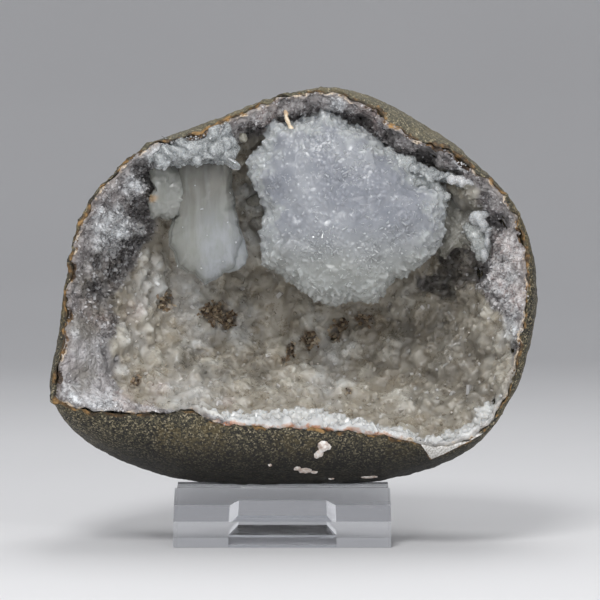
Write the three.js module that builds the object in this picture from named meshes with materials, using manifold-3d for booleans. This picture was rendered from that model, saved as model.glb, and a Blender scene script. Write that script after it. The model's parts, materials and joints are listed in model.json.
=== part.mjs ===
// A goosecreekite specimen: half of a hollow basalt nodule, open to the front, lined with druse, with a
// large crystal cluster and a sheaf-shaped crystal hanging in the cavity, standing in an acrylic cradle.
//
// Millimetres. X runs to the right, Y away from the open face and Z up. The origin is the middle of the
// bounding box, on the surface that the cradle stands on.

import * as THREE from "three";
import { ConvexGeometry } from "three/addons/geometries/ConvexGeometry.js";
import { mergeVertices } from "three/addons/utils/BufferGeometryUtils.js";
import Module from "manifold-3d";

// ---------------------------------------------------------------- driving dimensions

const GAP = 0.35; // clearance between neighbouring solids
const SEGMENTS = 64; // steps round the nodule
const OUTLINE_STEPS = 900; // fine steps used to read an outline's radius

// Acrylic cradle: a prism along X with a sloping shoulder at front and back and a groove on top.
const CRADLE_X = -4.2;
const CRADLE_Y = 8;
const CRADLE_WIDTH = 79;
const CRADLE_HEIGHT = 20.6;
const CRADLE_SIDE = 9.4; // height of the upright front and back faces
const GROOVE_WIDTH = 24;
const GROOVE_DEPTH = 1.7;
const SHOULDER = CRADLE_HEIGHT - CRADLE_SIDE; // the shoulders slope at 45 degrees
const CRADLE_DEPTH = GROOVE_WIDTH + 2 * SHOULDER;
const CHIP = { width: 2.2, height: 3.1 }; // the corner knocked off the cradle's front left foot
const MERGE = 1e-3; // vertices closer than this are one

// Relief milled in the cradle's underside: upright walls, then a 45 degree chamfer to its ceiling.
const RELIEF_WIDTH = 39.5;
const RELIEF_DEPTH = 26;
const RELIEF_WALL = 3.7;
const RELIEF_CHAMFER = 3.5;

// Nodule. Both outlines are seen from the front, as [x, z], anticlockwise from the right. The heights of
// the stone's pieces are its own: their zero lies STONE_DROP under the table.
const STONE_DROP = 2;
const CENTRE_HEIGHT = 91; // the cavity's centre line
const SILHOUETTE = [
  [90, 97], [84.5, 120], [68.5, 141], [42, 160.5], [15, 170],
  [-12, 164.5], [-22, 160.5], [-46, 151.5], [-70, 132], [-81, 108],
  [-86, 82], [-90, 58], [-84, 43.5], [-64, 29.5], [-38, 22.6],
  [0, 21.6], [36, 23.4], [62, 33.5], [79, 53.5], [87.5, 76],
];
const RIM = [
  [83.7, 98], [82, 116], [75, 130], [62, 140.5], [54.5, 147], [44.5, 148.6], [35, 155], [27, 162],
  [18, 164.6], [14, 167.4], [4, 166], [-9, 163], [-28, 154.6], [-38, 149.6], [-45, 150.4], [-58, 142.8],
  [-74.5, 123.5], [-79.5, 105], [-82, 89], [-81, 76], [-86.5, 62], [-83, 53.4], [-61, 51.8], [-44, 50.8],
  [-38, 53.6], [-30, 48.4], [-5, 46.8], [20, 45.2], [42, 41.5], [48.3, 36.8], [53, 38.8], [66.5, 43.6],
  [77.5, 60.5], [81.5, 77],
];
const BACK = 58; // y of the nodule's back
const WIDEST = { y: 4, lean: 4 }; // the nodule's widest ring, which leans back at the bottom by lean
const FRONT = { y: -23.5, lean: 6 }; // the rim's plane, which leans forward at the bottom by lean
const RIM_WALL = 1.4; // the basalt's thickness at its front edge
const LEAST_BROW = 0.2; // the least width of the front of the outside

// The outside's roundness from the widest ring to the back (1 is an ellipsoid), and its slow unevenness.
const OUTSIDE = { acrossPower: 0.86, backPower: 0.92, uneven: 1.6, wavelength: 70 };

// The basalt's inner face and the druse's free face are bowls. Their y falls from the rim to the back as
// (1 - share of the rim's radius ^ power) ^ ease, and their outline rounds off towards ROUND on the way.
const BED = { back: 49, power: 3.8, ease: 0.74, slack: 0 };
const CAVITY = { back: 37, power: 2.6, ease: 0.78, slack: 0.3 }; // slack eases the left side's slope
const ROUND = { width: 79, height: 57, rise: 0.22 };
const LIP = { thin: 2.2, thick: 5 }; // the druse's thickness at the top and bottom of the rim
const SWELLS = { height: 1.5, wavelength: 34 }; // slow swells on the cavity's wall

// A crowned lump's rings crowd towards its edge by this power, and its bumps and flutes have this size.
const LUMP = { spread: 0.8, bumpWavelength: 17, fluteTurns: 9 };
const PRISM_TIP = 0.55; // a prism's width at its bevelled end, as a share of its width

// ---------------------------------------------------------------- solids

const wasm = await Module();
wasm.setup();

// A three.js geometry as a manifold-3d solid.
function solidOf(geometry) {
  const bare = geometry.clone();
  bare.deleteAttribute("normal");
  bare.deleteAttribute("uv");
  const merged = mergeVertices(bare, MERGE);
  const corners = merged.index.array;
  const kept = [];
  for (let i = 0; i < corners.length; i += 3) {
    const [a, b, c] = corners.slice(i, i + 3);
    if (a !== b && b !== c && c !== a) kept.push(a, b, c);
  }
  const mesh = new wasm.Mesh({
    numProp: 3,
    vertProperties: merged.attributes.position.array,
    triVerts: new Uint32Array(kept),
  });
  return new wasm.Manifold(mesh);
}

// A manifold-3d solid's largest body as a three.js geometry: a cut can leave crumbs beside it.
function geometryOf(solid) {
  const body = solid.decompose().reduce((a, b) => (a.volume() > b.volume() ? a : b));
  const mesh = body.getMesh();
  return new THREE.BufferGeometry()
    .setAttribute("position", new THREE.BufferAttribute(mesh.vertProperties, 3))
    .setIndex(new THREE.BufferAttribute(mesh.triVerts, 1));
}

// Moves each vertex of a geometry to where place puts it.
function reshaped(geometry, place) {
  const position = geometry.attributes.position;
  const at = new THREE.Vector3();
  for (let i = 0; i < position.count; i += 1) {
    const to = place(at.fromBufferAttribute(position, i), i);
    position.setXYZ(i, to.x, to.y, to.z);
  }
  return geometry;
}

// The directions and phases of the four waves whose mean is a swell.
const WAVES = [
  { direction: new THREE.Vector3(1, 0, 0.6), phase: 0 },
  { direction: new THREE.Vector3(-0.5, 0, 0.8), phase: 1.3 },
  { direction: new THREE.Vector3(0.4, 1.1, 0), phase: 2.1 },
  { direction: new THREE.Vector3(0.7, 0.9, -0.8), phase: 4.2 },
];

// Slow swells between -1 and 1, for surfaces that grew.
function swell(at, wavelength) {
  const turns = (2 * Math.PI) / wavelength;
  const heights = WAVES.map(({ direction, phase }) => Math.sin(turns * direction.dot(at) + phase));
  return heights.reduce((a, b) => a + b) / WAVES.length;
}

// ---------------------------------------------------------------- outlines round the cavity

// The distance from a centre to a closed outline, as a function of the angle round it.
function radiusOf(outline, [centreX, centreZ]) {
  const points = outline.map(([x, z]) => new THREE.Vector3(x - centreX, 0, z - centreZ));
  const curve = new THREE.CatmullRomCurve3(points, true, "centripetal");
  const rays = curve
    .getPoints(OUTLINE_STEPS)
    .map((p) => ({ angle: Math.atan2(p.z, p.x), radius: Math.hypot(p.x, p.z) }))
    .sort((a, b) => a.angle - b.angle);
  return (angle) => {
    const wrapped = Math.atan2(Math.sin(angle), Math.cos(angle));
    const next = rays.findIndex((ray) => ray.angle >= wrapped);
    const after = rays[Math.max(next, 0)];
    const before = rays.at(next - 1 < 0 ? -1 : next - 1);
    const span = after.angle - before.angle;
    const share = span > 0 ? (wrapped - before.angle) / span : 0;
    return before.radius + (after.radius - before.radius) * share;
  };
}

const silhouetteRadius = radiusOf(SILHOUETTE, [0, CENTRE_HEIGHT]);
const rimRadius = radiusOf(RIM, [0, CENTRE_HEIGHT]);
const silhouetteY = (angle) => WIDEST.y - WIDEST.lean * Math.sin(angle);
const rimY = (angle) => FRONT.y + FRONT.lean * Math.sin(angle);
const lip = (angle) => LIP.thin + (LIP.thick - LIP.thin) * Math.max(0, -Math.sin(angle)) ** 2;

// The round outline that the cavity takes in its depths.
function roundRadius(angle) {
  const ellipse = 1 / Math.hypot(Math.cos(angle) / ROUND.width, Math.sin(angle) / ROUND.height);
  return ellipse * (1 + ROUND.rise * Math.sin(angle));
}

// The point at a radius, angle and y from the cavity's centre line.
function around(radius, angle, y) {
  return new THREE.Vector3(radius * Math.cos(angle), y, CENTRE_HEIGHT + radius * Math.sin(angle));
}

// A closed solid turned about the centre line. Each station gives a ring's [radius, y] at an angle, and
// the first and last stations are single points on the centre line.
function turned(stations) {
  const last = stations.length - 1;
  const profile = stations.map((_, i) => new THREE.Vector2(i % last === 0 ? 0 : 1, i));
  return reshaped(new THREE.LatheGeometry(profile, SEGMENTS), (_, i) => {
    const angle = (2 * Math.PI * Math.floor(i / stations.length)) / SEGMENTS;
    const [radius, y] = stations[i % stations.length](angle);
    return around(radius, angle, y);
  });
}

// ---------------------------------------------------------------- basalt shell and druse lining

// The nodule's outside, from its back (t = 0) to its widest ring (t = 1).
const dome = (t) => (angle) => {
  const turn = (t * Math.PI) / 2;
  const y = silhouetteY(angle);
  const radius = silhouetteRadius(angle) * Math.sin(turn) ** OUTSIDE.acrossPower;
  const uneven = OUTSIDE.uneven * swell(around(radius, angle, y), OUTSIDE.wavelength) * Math.sin(2 * turn);
  return [radius, y + (BACK - y) * Math.cos(turn) ** OUTSIDE.backPower + uneven];
};

// The front of the outside, from the widest ring (t = 0) to the front edge (t = 1).
const brow = (t) => (angle) => {
  const turn = (t * Math.PI) / 2;
  const edge = rimRadius(angle) + RIM_WALL;
  const width = Math.max(silhouetteRadius(angle) - edge, LEAST_BROW);
  const y = silhouetteY(angle) + (rimY(angle) - silhouetteY(angle)) * Math.sin(turn);
  return [edge + width * Math.cos(turn), y];
};

// A bowl's [radius, y] at a share of the way out to its edge, moved inwards and forwards by lift.
function bowlPoint(bowl, edge, share, angle, lift) {
  const front = rimY(angle);
  const ease = bowl.ease + bowl.slack * Math.max(0, -Math.cos(angle));
  const deep = (1 - share ** bowl.power) ** ease;
  const outline = THREE.MathUtils.lerp(roundRadius(angle), edge, share ** 2);
  const radius = Math.max(outline * share - lift, 0);
  return [radius, front + (bowl.back - front) * deep - (share < 1 ? lift : 0)];
}

// The basalt's inner face.
const bed = (share, lift = 0) => (angle) => bowlPoint(BED, rimRadius(angle), share, angle, lift);

// The druse's free face, with swells that fade out at the rim and in the middle of the back.
const cavity = (share, lift = 0) => (angle) => {
  const edge = rimRadius(angle) - lip(angle);
  const [radius, y] = bowlPoint(CAVITY, edge, share, angle, lift);
  const fade = 4 * share * (1 - share ** 3);
  return [radius, y + SWELLS.height * fade * swell(around(radius, angle, y), SWELLS.wavelength)];
};

const BED_SHARES = [0.25, 0.5, 0.7, 0.85, 0.95];
const CAVITY_SHARES = [0.16, 0.32, 0.48, 0.62, 0.75, 0.86, 0.94, 0.98];

function basaltShell() {
  const outside = [0, 0.2, 0.4, 0.6, 0.8, 1].map(dome);
  const front = [0.4, 0.72, 1].map(brow);
  const inside = [1, ...BED_SHARES.toReversed(), 0].map((share) => bed(share));
  return solidOf(turned([...outside, ...front, ...inside]));
}

function druseLining() {
  const back = [0, ...BED_SHARES].map((share) => bed(share, 2 * GAP));
  const edge = (angle) => [rimRadius(angle) - 2 * GAP, rimY(angle) + 1];
  const face = [1, ...CAVITY_SHARES.toReversed(), 0].map((share) => cavity(share));
  return solidOf(turned([...back, edge, ...face]));
}

// Everything behind the druse's free face, out past the nodule, to trim what grows on it.
function behindTheCavity() {
  const far = 200;
  const outside = [() => [0, far], () => [far, far], (angle) => [far, rimY(angle)]];
  const face = [1, ...CAVITY_SHARES.toReversed(), 0].map((share) => cavity(share, GAP));
  return solidOf(turned([...outside, ...face]));
}

// ---------------------------------------------------------------- crystals

// A crowned lump: an outline seen from the front, with a thickness that rounds off towards its edge.
// flutes are ridges that run down it, and grow makes it larger all round.
function crownedLump(lump, grow = 0) {
  const { outline, centre, y, front, back, crown, detail, bumps, flutes = 0 } = lump;
  const radius = radiusOf(outline, centre);
  return solidOf(
    reshaped(new THREE.IcosahedronGeometry(1, detail), (at) => {
      const angle = Math.atan2(at.z, at.x);
      const share = Math.min(Math.hypot(at.x, at.z), 1) ** LUMP.spread;
      const thick = (1 - share ** crown) ** (1 / crown);
      const across = share * (radius(angle) + grow);
      const [x, z] = [centre[0] + across * Math.cos(angle), centre[1] + across * Math.sin(angle)];
      const depth = (at.y < 0 ? front : back) + grow;
      const to = new THREE.Vector3(x, y + Math.sign(at.y) * depth * thick, z);
      to.y += thick * (bumps * swell(to, LUMP.bumpWavelength) + flutes * Math.sin(LUMP.fluteTurns * at.x));
      return to;
    }),
  );
}

// A round lump, as a crowned one.
const knob = (x, y, z, width, height) => ({
  outline: [[x + width, z], [x, z + height], [x - width, z], [x, z - height]],
  centre: [x, z],
  y,
  front: width,
  back: 16,
  crown: 2.1,
  detail: 2,
  bumps: 0.3,
});

const CLUSTER = {
  outline: [
    [55.5, 126], [53, 112], [43, 102], [31, 94], [25, 91.5], [16, 90], [7, 92.5], [-3, 99], [-11.5, 104],
    [-11.5, 116], [-11, 129], [-17, 138], [-11.5, 148.5], [-6.5, 157.5], [1, 158], [10, 162], [21, 157],
    [34, 148.5], [44, 140.5], [52, 136.5],
  ],
  centre: [20.5, 126],
  y: -4,
  front: 17,
  back: 38,
  crown: 2.6,
  detail: 8,
  bumps: 1.2,
};

const SHEAF = {
  outline: [
    [-18, 118], [-17, 109], [-21, 104], [-27, 100.5], [-33, 96.8], [-42, 103.5], [-46.8, 114], [-43.8, 125],
    [-43.4, 134], [-42, 146], [-33, 150], [-25, 146], [-23, 136], [-21.2, 127],
  ],
  centre: [-32.5, 124],
  y: -4,
  front: 12,
  back: 9,
  crown: 2.1,
  detail: 7,
  bumps: 0.3,
  flutes: 0.7,
};

const SIDE_BLADE = {
  outline: [
    [-43.8, 128], [-44.6, 122], [-50, 122.2], [-54, 122], [-54, 127], [-51, 131], [-52, 137], [-49, 141],
    [-45, 139], [-44, 134],
  ],
  centre: [-48.3, 130],
  y: -6,
  front: 5,
  back: 12,
  crown: 2.4,
  detail: 3,
  bumps: 0.4,
};

const CEILING_CRUST = {
  outline: [
    [-21, 148], [-22, 143], [-28, 141.8], [-38, 141.5], [-46, 138], [-54.5, 137.5], [-56.5, 141],
    [-52, 146.5], [-45, 148.6], [-38, 147.2], [-31, 151.5], [-25, 152.5],
  ],
  centre: [-39, 144.3],
  y: -12,
  front: 9,
  back: 14,
  crown: 2.4,
  detail: 5,
  bumps: 1,
};

// Small white knobs on the right wall, and on the ceiling right of the cluster.
const EAST_KNOBS = [
  knob(67.5, 1, 119.8, 5, 4.8),
  knob(70.2, -2, 113.8, 4.2, 5.2),
  knob(66.4, 2, 111.5, 4.4, 4.2),
  knob(60.5, 5, 117.5, 6, 7),
];
const NORTH_KNOBS = [
  knob(44.6, -11, 138, 4, 3.6),
  knob(50.3, -12, 136.2, 3.4, 3),
  knob(56, -10, 136.8, 4, 2.6),
  knob(62, -10, 135.4, 4.2, 2.8),
];

const joined = (lumps, grow) => lumps.map((lump) => crownedLump(lump, grow)).reduce((a, b) => a.add(b));

// A small six-sided prism with a bevelled end, lying along a direction.
function prism({ from, to, radius, flatness }) {
  const [start, end] = [new THREE.Vector3(...from), new THREE.Vector3(...to)];
  const along = end.clone().sub(start);
  const up = new THREE.Vector3(0, 0, 1);
  const turn = new THREE.Quaternion().setFromUnitVectors(up, along.clone().normalize());
  const ring = (height, width) =>
    Array.from({ length: 6 }, (_, i) => {
      const angle = (i * Math.PI) / 3;
      const local = new THREE.Vector3(width * Math.cos(angle), flatness * width * Math.sin(angle), height);
      return local.applyQuaternion(turn).add(start);
    });
  const length = along.length();
  const rings = [ring(0, radius), ring(length - radius, radius), ring(length, radius * PRISM_TIP)];
  return solidOf(new ConvexGeometry(rings.flat()));
}

const SMALL_PRISM = { from: [-28, -14, 144.6], to: [-19.6, -20, 139.4], radius: 1.9, flatness: 0.8 };

// ---------------------------------------------------------------- acrylic cradle

function acrylicCradle() {
  const half = CRADLE_DEPTH / 2;
  const groove = GROOVE_WIDTH / 2;
  const arcRadius = (groove ** 2 + GROOVE_DEPTH ** 2) / (2 * GROOVE_DEPTH);
  const arcHeight = CRADLE_HEIGHT - GROOVE_DEPTH + arcRadius;
  const reach = Math.asin(groove / arcRadius);
  const profile = new THREE.Shape()
    .moveTo(-half, 0)
    .lineTo(half, 0)
    .lineTo(half, CRADLE_SIDE)
    .lineTo(groove, CRADLE_HEIGHT)
    .absarc(0, arcHeight, arcRadius, -Math.PI / 2 + reach, -Math.PI / 2 - reach, true)
    .lineTo(-half, CRADLE_SIDE);
  const options = { depth: CRADLE_WIDTH, bevelEnabled: false, curveSegments: 12 };
  const block = new THREE.ExtrudeGeometry(profile, options)
    .translate(0, 0, -CRADLE_WIDTH / 2)
    .rotateY(Math.PI / 2)
    .rotateX(Math.PI / 2)
    .translate(CRADLE_X, CRADLE_Y, 0);
  return solidOf(block).subtract(cradleRelief()).subtract(cornerChip());
}

function cradleRelief() {
  const layer = (z, inset) => {
    const [x, y] = [RELIEF_WIDTH / 2 - inset, RELIEF_DEPTH / 2 - inset];
    const corners = [[x, y], [-x, y], [-x, -y], [x, -y]];
    return corners.map(([dx, dy]) => new THREE.Vector3(CRADLE_X + dx, CRADLE_Y + dy, z));
  };
  const ceiling = RELIEF_WALL + RELIEF_CHAMFER;
  const layers = [layer(-1, 0), layer(RELIEF_WALL, 0), layer(ceiling, RELIEF_CHAMFER)];
  return solidOf(new ConvexGeometry(layers.flat()));
}

function cornerChip() {
  const corner = new THREE.Vector3(CRADLE_X - CRADLE_WIDTH / 2, CRADLE_Y - CRADLE_DEPTH / 2, 0);
  const offsets = [[-1, -1, -1], [CHIP.width, -1, -1], [-1, CHIP.width, -1], [-1, -1, CHIP.height]];
  return solidOf(new ConvexGeometry(offsets.map((offset) => new THREE.Vector3(...offset).add(corner))));
}

// ---------------------------------------------------------------- the assembly

const basalt = new THREE.MeshStandardMaterial({ color: 0x5a584c, roughness: 0.8, metalness: 0 });
const druse = new THREE.MeshStandardMaterial({ color: 0xa9a5a3, roughness: 0.55, metalness: 0 });
const milkyCrystal = new THREE.MeshStandardMaterial({ color: 0xc3c8cc, roughness: 0.25, metalness: 0 });
const sugaryCrust = new THREE.MeshStandardMaterial({ color: 0xd2cfca, roughness: 0.4, metalness: 0 });
const clearAcrylic = new THREE.MeshStandardMaterial({ color: 0xeef1f5, roughness: 0.05, metalness: 0 });
clearAcrylic.transparent = true;
clearAcrylic.opacity = 0.35;

const ground = behindTheCavity();
const onTheWall = (lumps, ...neighbours) =>
  [ground, ...neighbours.map((neighbour) => joined(neighbour, GAP))].reduce(
    (solid, cutter) => solid.subtract(cutter),
    joined(lumps, 0),
  );
const smallPrism = prism(SMALL_PRISM).subtract(joined([CEILING_CRUST, SHEAF], GAP));

const STONE_PIECES = [
  ["basalt_shell", basaltShell(), basalt],
  ["druse_lining", druseLining(), druse],
  ["goosecreekite_cluster", onTheWall([CLUSTER]), milkyCrystal],
  ["ceiling_crust", onTheWall([CEILING_CRUST]), sugaryCrust],
  ["sheaf_crystal", onTheWall([SHEAF], [CEILING_CRUST]), milkyCrystal],
  ["side_blade", onTheWall([SIDE_BLADE], [CEILING_CRUST], [SHEAF]), milkyCrystal],
  ["small_prism", smallPrism, milkyCrystal],
  ["north_knobs", onTheWall(NORTH_KNOBS, [CLUSTER]), sugaryCrust],
  ["east_knobs", onTheWall(EAST_KNOBS, [CLUSTER]), sugaryCrust],
];

function meshOf([name, solid, material]) {
  const mesh = new THREE.Mesh(geometryOf(solid), material);
  mesh.name = name;
  return mesh;
}

const stone = new THREE.Group();
stone.add(...STONE_PIECES.map(meshOf));
stone.position.z = -STONE_DROP;

const specimen = new THREE.Group();
specimen.add(meshOf(["acrylic_cradle", acrylicCradle(), clearAcrylic]), stone);

// The pieces are made round the cavity's centre line; this puts the origin under the middle of them.
const middle = new THREE.Box3().setFromObject(specimen).getCenter(new THREE.Vector3());
specimen.position.set(-middle.x, -middle.y, 0);

export default specimen;
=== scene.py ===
"""The looks of a goosecreekite specimen: half a basalt nodule lined with druse, its crystals and its
acrylic cradle. Metres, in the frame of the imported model: X to the right, Y away from the open face, Z up.
"""

import json
import math

import bmesh
import bpy
from mathutils import Matrix, Vector, kdtree, noise
from mathutils.bvhtree import BVHTree

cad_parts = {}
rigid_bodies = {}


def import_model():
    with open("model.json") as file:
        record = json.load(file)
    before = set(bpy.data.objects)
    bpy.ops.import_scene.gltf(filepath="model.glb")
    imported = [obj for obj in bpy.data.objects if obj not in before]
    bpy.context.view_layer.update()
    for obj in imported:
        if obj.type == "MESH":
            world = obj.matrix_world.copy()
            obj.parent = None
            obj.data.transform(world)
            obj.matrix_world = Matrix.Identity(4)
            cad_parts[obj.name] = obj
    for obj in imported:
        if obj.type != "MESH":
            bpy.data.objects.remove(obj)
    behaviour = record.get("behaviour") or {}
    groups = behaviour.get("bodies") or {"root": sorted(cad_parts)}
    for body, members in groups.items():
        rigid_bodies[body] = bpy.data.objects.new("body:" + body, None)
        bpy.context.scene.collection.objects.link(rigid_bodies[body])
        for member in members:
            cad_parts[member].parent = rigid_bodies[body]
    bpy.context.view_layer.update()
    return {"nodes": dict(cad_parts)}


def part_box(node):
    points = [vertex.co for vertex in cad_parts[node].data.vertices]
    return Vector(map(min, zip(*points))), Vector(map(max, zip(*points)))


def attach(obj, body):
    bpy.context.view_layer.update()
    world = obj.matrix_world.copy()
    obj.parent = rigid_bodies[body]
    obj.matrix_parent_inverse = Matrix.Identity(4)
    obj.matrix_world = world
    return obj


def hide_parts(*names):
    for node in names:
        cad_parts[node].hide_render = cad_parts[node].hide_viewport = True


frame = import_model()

MM = 0.001
NODULE = 9  # the size in mm of the small round masses in the druse
noise.seed_set(24)  # the rock grows the same way each time

# ---- places, from the frame

SHELL_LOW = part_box("basalt_shell")[0]
CENTRE = Vector((0, SHELL_LOW.y, SHELL_LOW.z + 69.6 * MM))  # where the cavity's centre line meets the front
RIM_LEAN = 6 * MM  # the rim's plane leans back towards its top by this much either side of its middle

# Places on the front are (x, z) in mm from the cavity's centre line, as they look from the eye.
TARGET = Vector((2.2 * MM, -10 * MM, CENTRE.z + 0.4 * MM))
AWAY = 0.9
EYE = TARGET + AWAY * Vector((0, -math.cos(math.radians(1)), math.sin(math.radians(1))))
AHEAD = (TARGET - EYE).normalized()
UPWARD = Vector((1, 0, 0)).cross(AHEAD)


def front_view(point):
    """Where a point is on the front."""
    ray = point - EYE
    ray *= AWAY / ray.dot(AHEAD)
    return (TARGET.x - CENTRE.x + ray.x) / MM, (TARGET.z - CENTRE.z + ray.dot(UPWARD)) / MM


def bearing(spot, middle):
    """The angle and the distance of one place on the front from another."""
    across, up = spot[0] - middle[0], spot[1] - middle[1]
    return math.atan2(up, across), math.hypot(across, up)


def rim_depth(point):
    """How far a point lies behind the rim's leaning plane."""
    across, behind, up = point - CENTRE
    return behind - RIM_LEAN * (1 + up / max(math.hypot(across, up), MM))


# ---- node trees


def arithmetic(operation):
    """An operator's plain and reflected methods, which add a Math node."""
    return (
        lambda self, other: self.math(operation, self, other),
        lambda self, other: self.math(operation, other, self),
    )


class Value:
    """A node's output. Arithmetic on it adds Math nodes to its tree."""

    __add__, __radd__ = arithmetic("ADD")
    __sub__, __rsub__ = arithmetic("SUBTRACT")
    __mul__, __rmul__ = arithmetic("MULTIPLY")

    def __init__(self, graph, socket):
        self.graph = graph
        self.socket = socket

    def __abs__(self):
        return self.math("ABSOLUTE", self)

    def math(self, operation, *values):
        return self.graph.node("ShaderNodeMath", {"operation": operation}, dict(enumerate(values)))

    def sibling(self, output):
        """Another output of the same node."""
        return Value(self.graph, self.socket.node.outputs[output])


class Graph:
    """A node tree, and the one way to add a node to it."""

    def __init__(self, tree):
        self.tree = tree
        tree.nodes.clear()

    def node(self, kind, settings=None, sockets=None, output=0):
        made = self.tree.nodes.new(kind)
        for name, value in (settings or {}).items():
            if name == "stops":
                self._set_stops(made.color_ramp, value)
            else:
                setattr(made, name, value)
        for key, value in (sockets or {}).items():
            if isinstance(value, Value):
                self.tree.links.new(value.socket, made.inputs[key])
            else:
                made.inputs[key].default_value = value
        return Value(self, made.outputs[output]) if made.outputs else None

    @staticmethod
    def _set_stops(ramp, stops):
        while len(ramp.elements) < len(stops):
            ramp.elements.new(1)
        for element, (position, colour) in zip(ramp.elements, stops):
            element.position = position
            element.color = (*colour, 1)


class Finish(Graph):
    """A material whose colour, roughness and bump are patterns on Object coordinates. Sizes are in mm."""

    def __init__(self, name):
        self.material = bpy.data.materials.new(name)
        self.material.use_nodes = True
        super().__init__(self.material.node_tree)
        self.at = self.node("ShaderNodeTexCoord", output="Object")

    def attribute(self, name):
        return self.node("ShaderNodeAttribute", {"attribute_name": name}, output="Fac")

    def axis(self, letter):
        """How far along an axis, in metres."""
        return self.node("ShaderNodeSeparateXYZ", sockets={0: self.at}, output=letter)

    def noise(self, size, detail=2.0, distortion=0.0, at=None, output="Fac"):
        """Smooth noise, 0 to 1, whose features are about size across."""
        sockets = {"Vector": at or self.at, "Scale": 1 / (size * MM), "Detail": detail}
        return self.node("ShaderNodeTexNoise", sockets={**sockets, "Distortion": distortion}, output=output)

    def cells(self, size, output="Distance", feature="F1", at=None):
        """Cells about size across. Color is one random colour a cell."""
        sockets = {"Vector": at or self.at, "Scale": 1 / (size * MM)}
        return self.node("ShaderNodeTexVoronoi", {"feature": feature}, sockets, output)

    def grains(self, size):
        """One random number a grain, where the grains are about size across."""
        return self.node("ShaderNodeSeparateColor", sockets={0: self.cells(size, "Color")})

    def gaps(self, size, width):
        """1 in the narrow winding gaps between lumps about size across, and 0 on the lumps."""
        shake = {0: self.noise(0.7 * size, output="Color"), 1: (0.8 * size * MM,) * 3, 2: self.at}
        shaken = self.node("ShaderNodeVectorMath", {"operation": "MULTIPLY_ADD"}, shake)
        return self.fade(self.cells(size, feature="DISTANCE_TO_EDGE", at=shaken), width, 0)

    def stretched(self, scale):
        """Coordinates scaled along each axis, so that a pattern on them is drawn out."""
        return self.node("ShaderNodeMapping", sockets={"Vector": self.at, "Scale": scale})

    def fade(self, value, low, high):
        """0 where value is under low and 1 where it is over high. low may be the greater."""
        settings = {"interpolation_type": "SMOOTHSTEP"}
        return self.node("ShaderNodeMapRange", settings, {"Value": value, 1: low, 2: high})

    def mix(self, share, a, b):
        """The colour a, with its share of the colour b."""
        colours = {6: a if isinstance(a, Value) else (*a, 1), 7: b if isinstance(b, Value) else (*b, 1)}
        return self.node("ShaderNodeMix", {"data_type": "RGBA"}, {0: share, **colours}, 2)

    def mottled(self, pattern, dark, pale, low=0.35, high=0.65):
        """Dark where a pattern is under low, and pale where it is over high."""
        return self.mix(self.fade(pattern, low, high), dark, pale)

    def layered(self, colour, *layers):
        """A colour under (share, tint) layers, of which the last is on top."""
        for share, tint in layers:
            colour = self.mix(share, colour, tint)
        return colour

    def ramp(self, value, *stops):
        return self.node("ShaderNodeValToRGB", {"stops": stops}, {0: value})

    def bump(self, height, depth, below=None):
        """A bump of a height map whose full range is depth, over another bump."""
        sockets = {"Height": height, "Distance": depth * MM, "Strength": 1.0}
        return self.node("ShaderNodeBump", sockets={**sockets, "Normal": below} if below else sockets)

    def shader(self, colour, roughness, normal=None, milk=0.0, depth=0.0, clear=0.0, ior=1.5):
        """A Principled shader. milk is the share of light that scatters inside it, to this depth, and clear
        is the share that passes straight through."""
        sockets = {"Base Color": colour, "Roughness": roughness, "IOR": ior, "Transmission Weight": clear}
        sockets.update({"Subsurface Weight": milk, "Subsurface Radius": (1.0, 0.95, 0.9)})
        sockets["Subsurface Scale"] = depth * MM
        if normal:
            sockets["Normal"] = normal
        return self.node("ShaderNodeBsdfPrincipled", sockets=sockets)

    def shown(self, shader):
        """The material, which shows the shader."""
        self.node("ShaderNodeOutputMaterial", sockets={"Surface": shader})
        return self.material

    def surface(self, *looks, **more_looks):
        return self.shown(self.shader(*looks, **more_looks))


# ---- the rim and the regions of the cavity


def smooth_step(value, low, high):
    share = min(max((value - low) / (high - low), 0), 1)
    return share * share * (3 - 2 * share)


def rim_corners():
    """The basalt's inner front corners, in order round the rim."""
    inner = {}
    for vertex in frame["nodes"]["basalt_shell"].data.vertices:
        across, _, up = vertex.co - CENTRE
        key, radius = round(math.atan2(up, across), 2), math.hypot(across, up)
        if abs(rim_depth(vertex.co)) < 0.05 * MM and radius < inner.get(key, (9, None))[0]:
            inner[key] = (radius, vertex.co.copy())
    return [inner[key][1] for key in sorted(inner)]


def tree_of(points):
    """A search tree of points."""
    tree = kdtree.KDTree(len(points))
    for index, point in enumerate(points):
        tree.insert(point, index)
    tree.balance()
    return tree


RIM_CORNERS = rim_corners()
RIM_STEPS = 14
RIM_SPOTS = [
    start.lerp(end, step / RIM_STEPS)
    for start, end in zip(RIM_CORNERS, RIM_CORNERS[1:] + RIM_CORNERS[:1])
    for step in range(RIM_STEPS)
]
EVEN_RIM = tree_of(RIM_SPOTS)


def wavy(point, size):
    """Smooth noise, -1 to 1, whose features are about size mm across."""
    return noise.noise(point / (size * MM))


def craggy(point, size, octaves=3):
    """Rough noise about 0, whose largest features are about size mm across."""
    return noise.fractal(point / (size * MM), 0.6, 2, octaves)


def frayed(point):
    """Where a point goes as the rim frays. Only points near the rim move, and only along the front."""
    near_rim = 1 - smooth_step(EVEN_RIM.find(point)[2] / MM, 2, 6)
    push = 1.1 * noise.noise_vector(point / (4.5 * MM)) + 0.7 * noise.noise_vector(point / (1.8 * MM))
    return point + push * Vector((1, 0, 1)) * near_rim * MM


RIM_LINE = tree_of([frayed(spot) for spot in RIM_SPOTS])


def mass_cells(point, size):
    """The distances to the nearest round masses about size mm across, and their middles."""
    size = size * MM
    return noise.voronoi(point / size + 0.3 * noise.noise_vector(point / (0.6 * size)))


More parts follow.
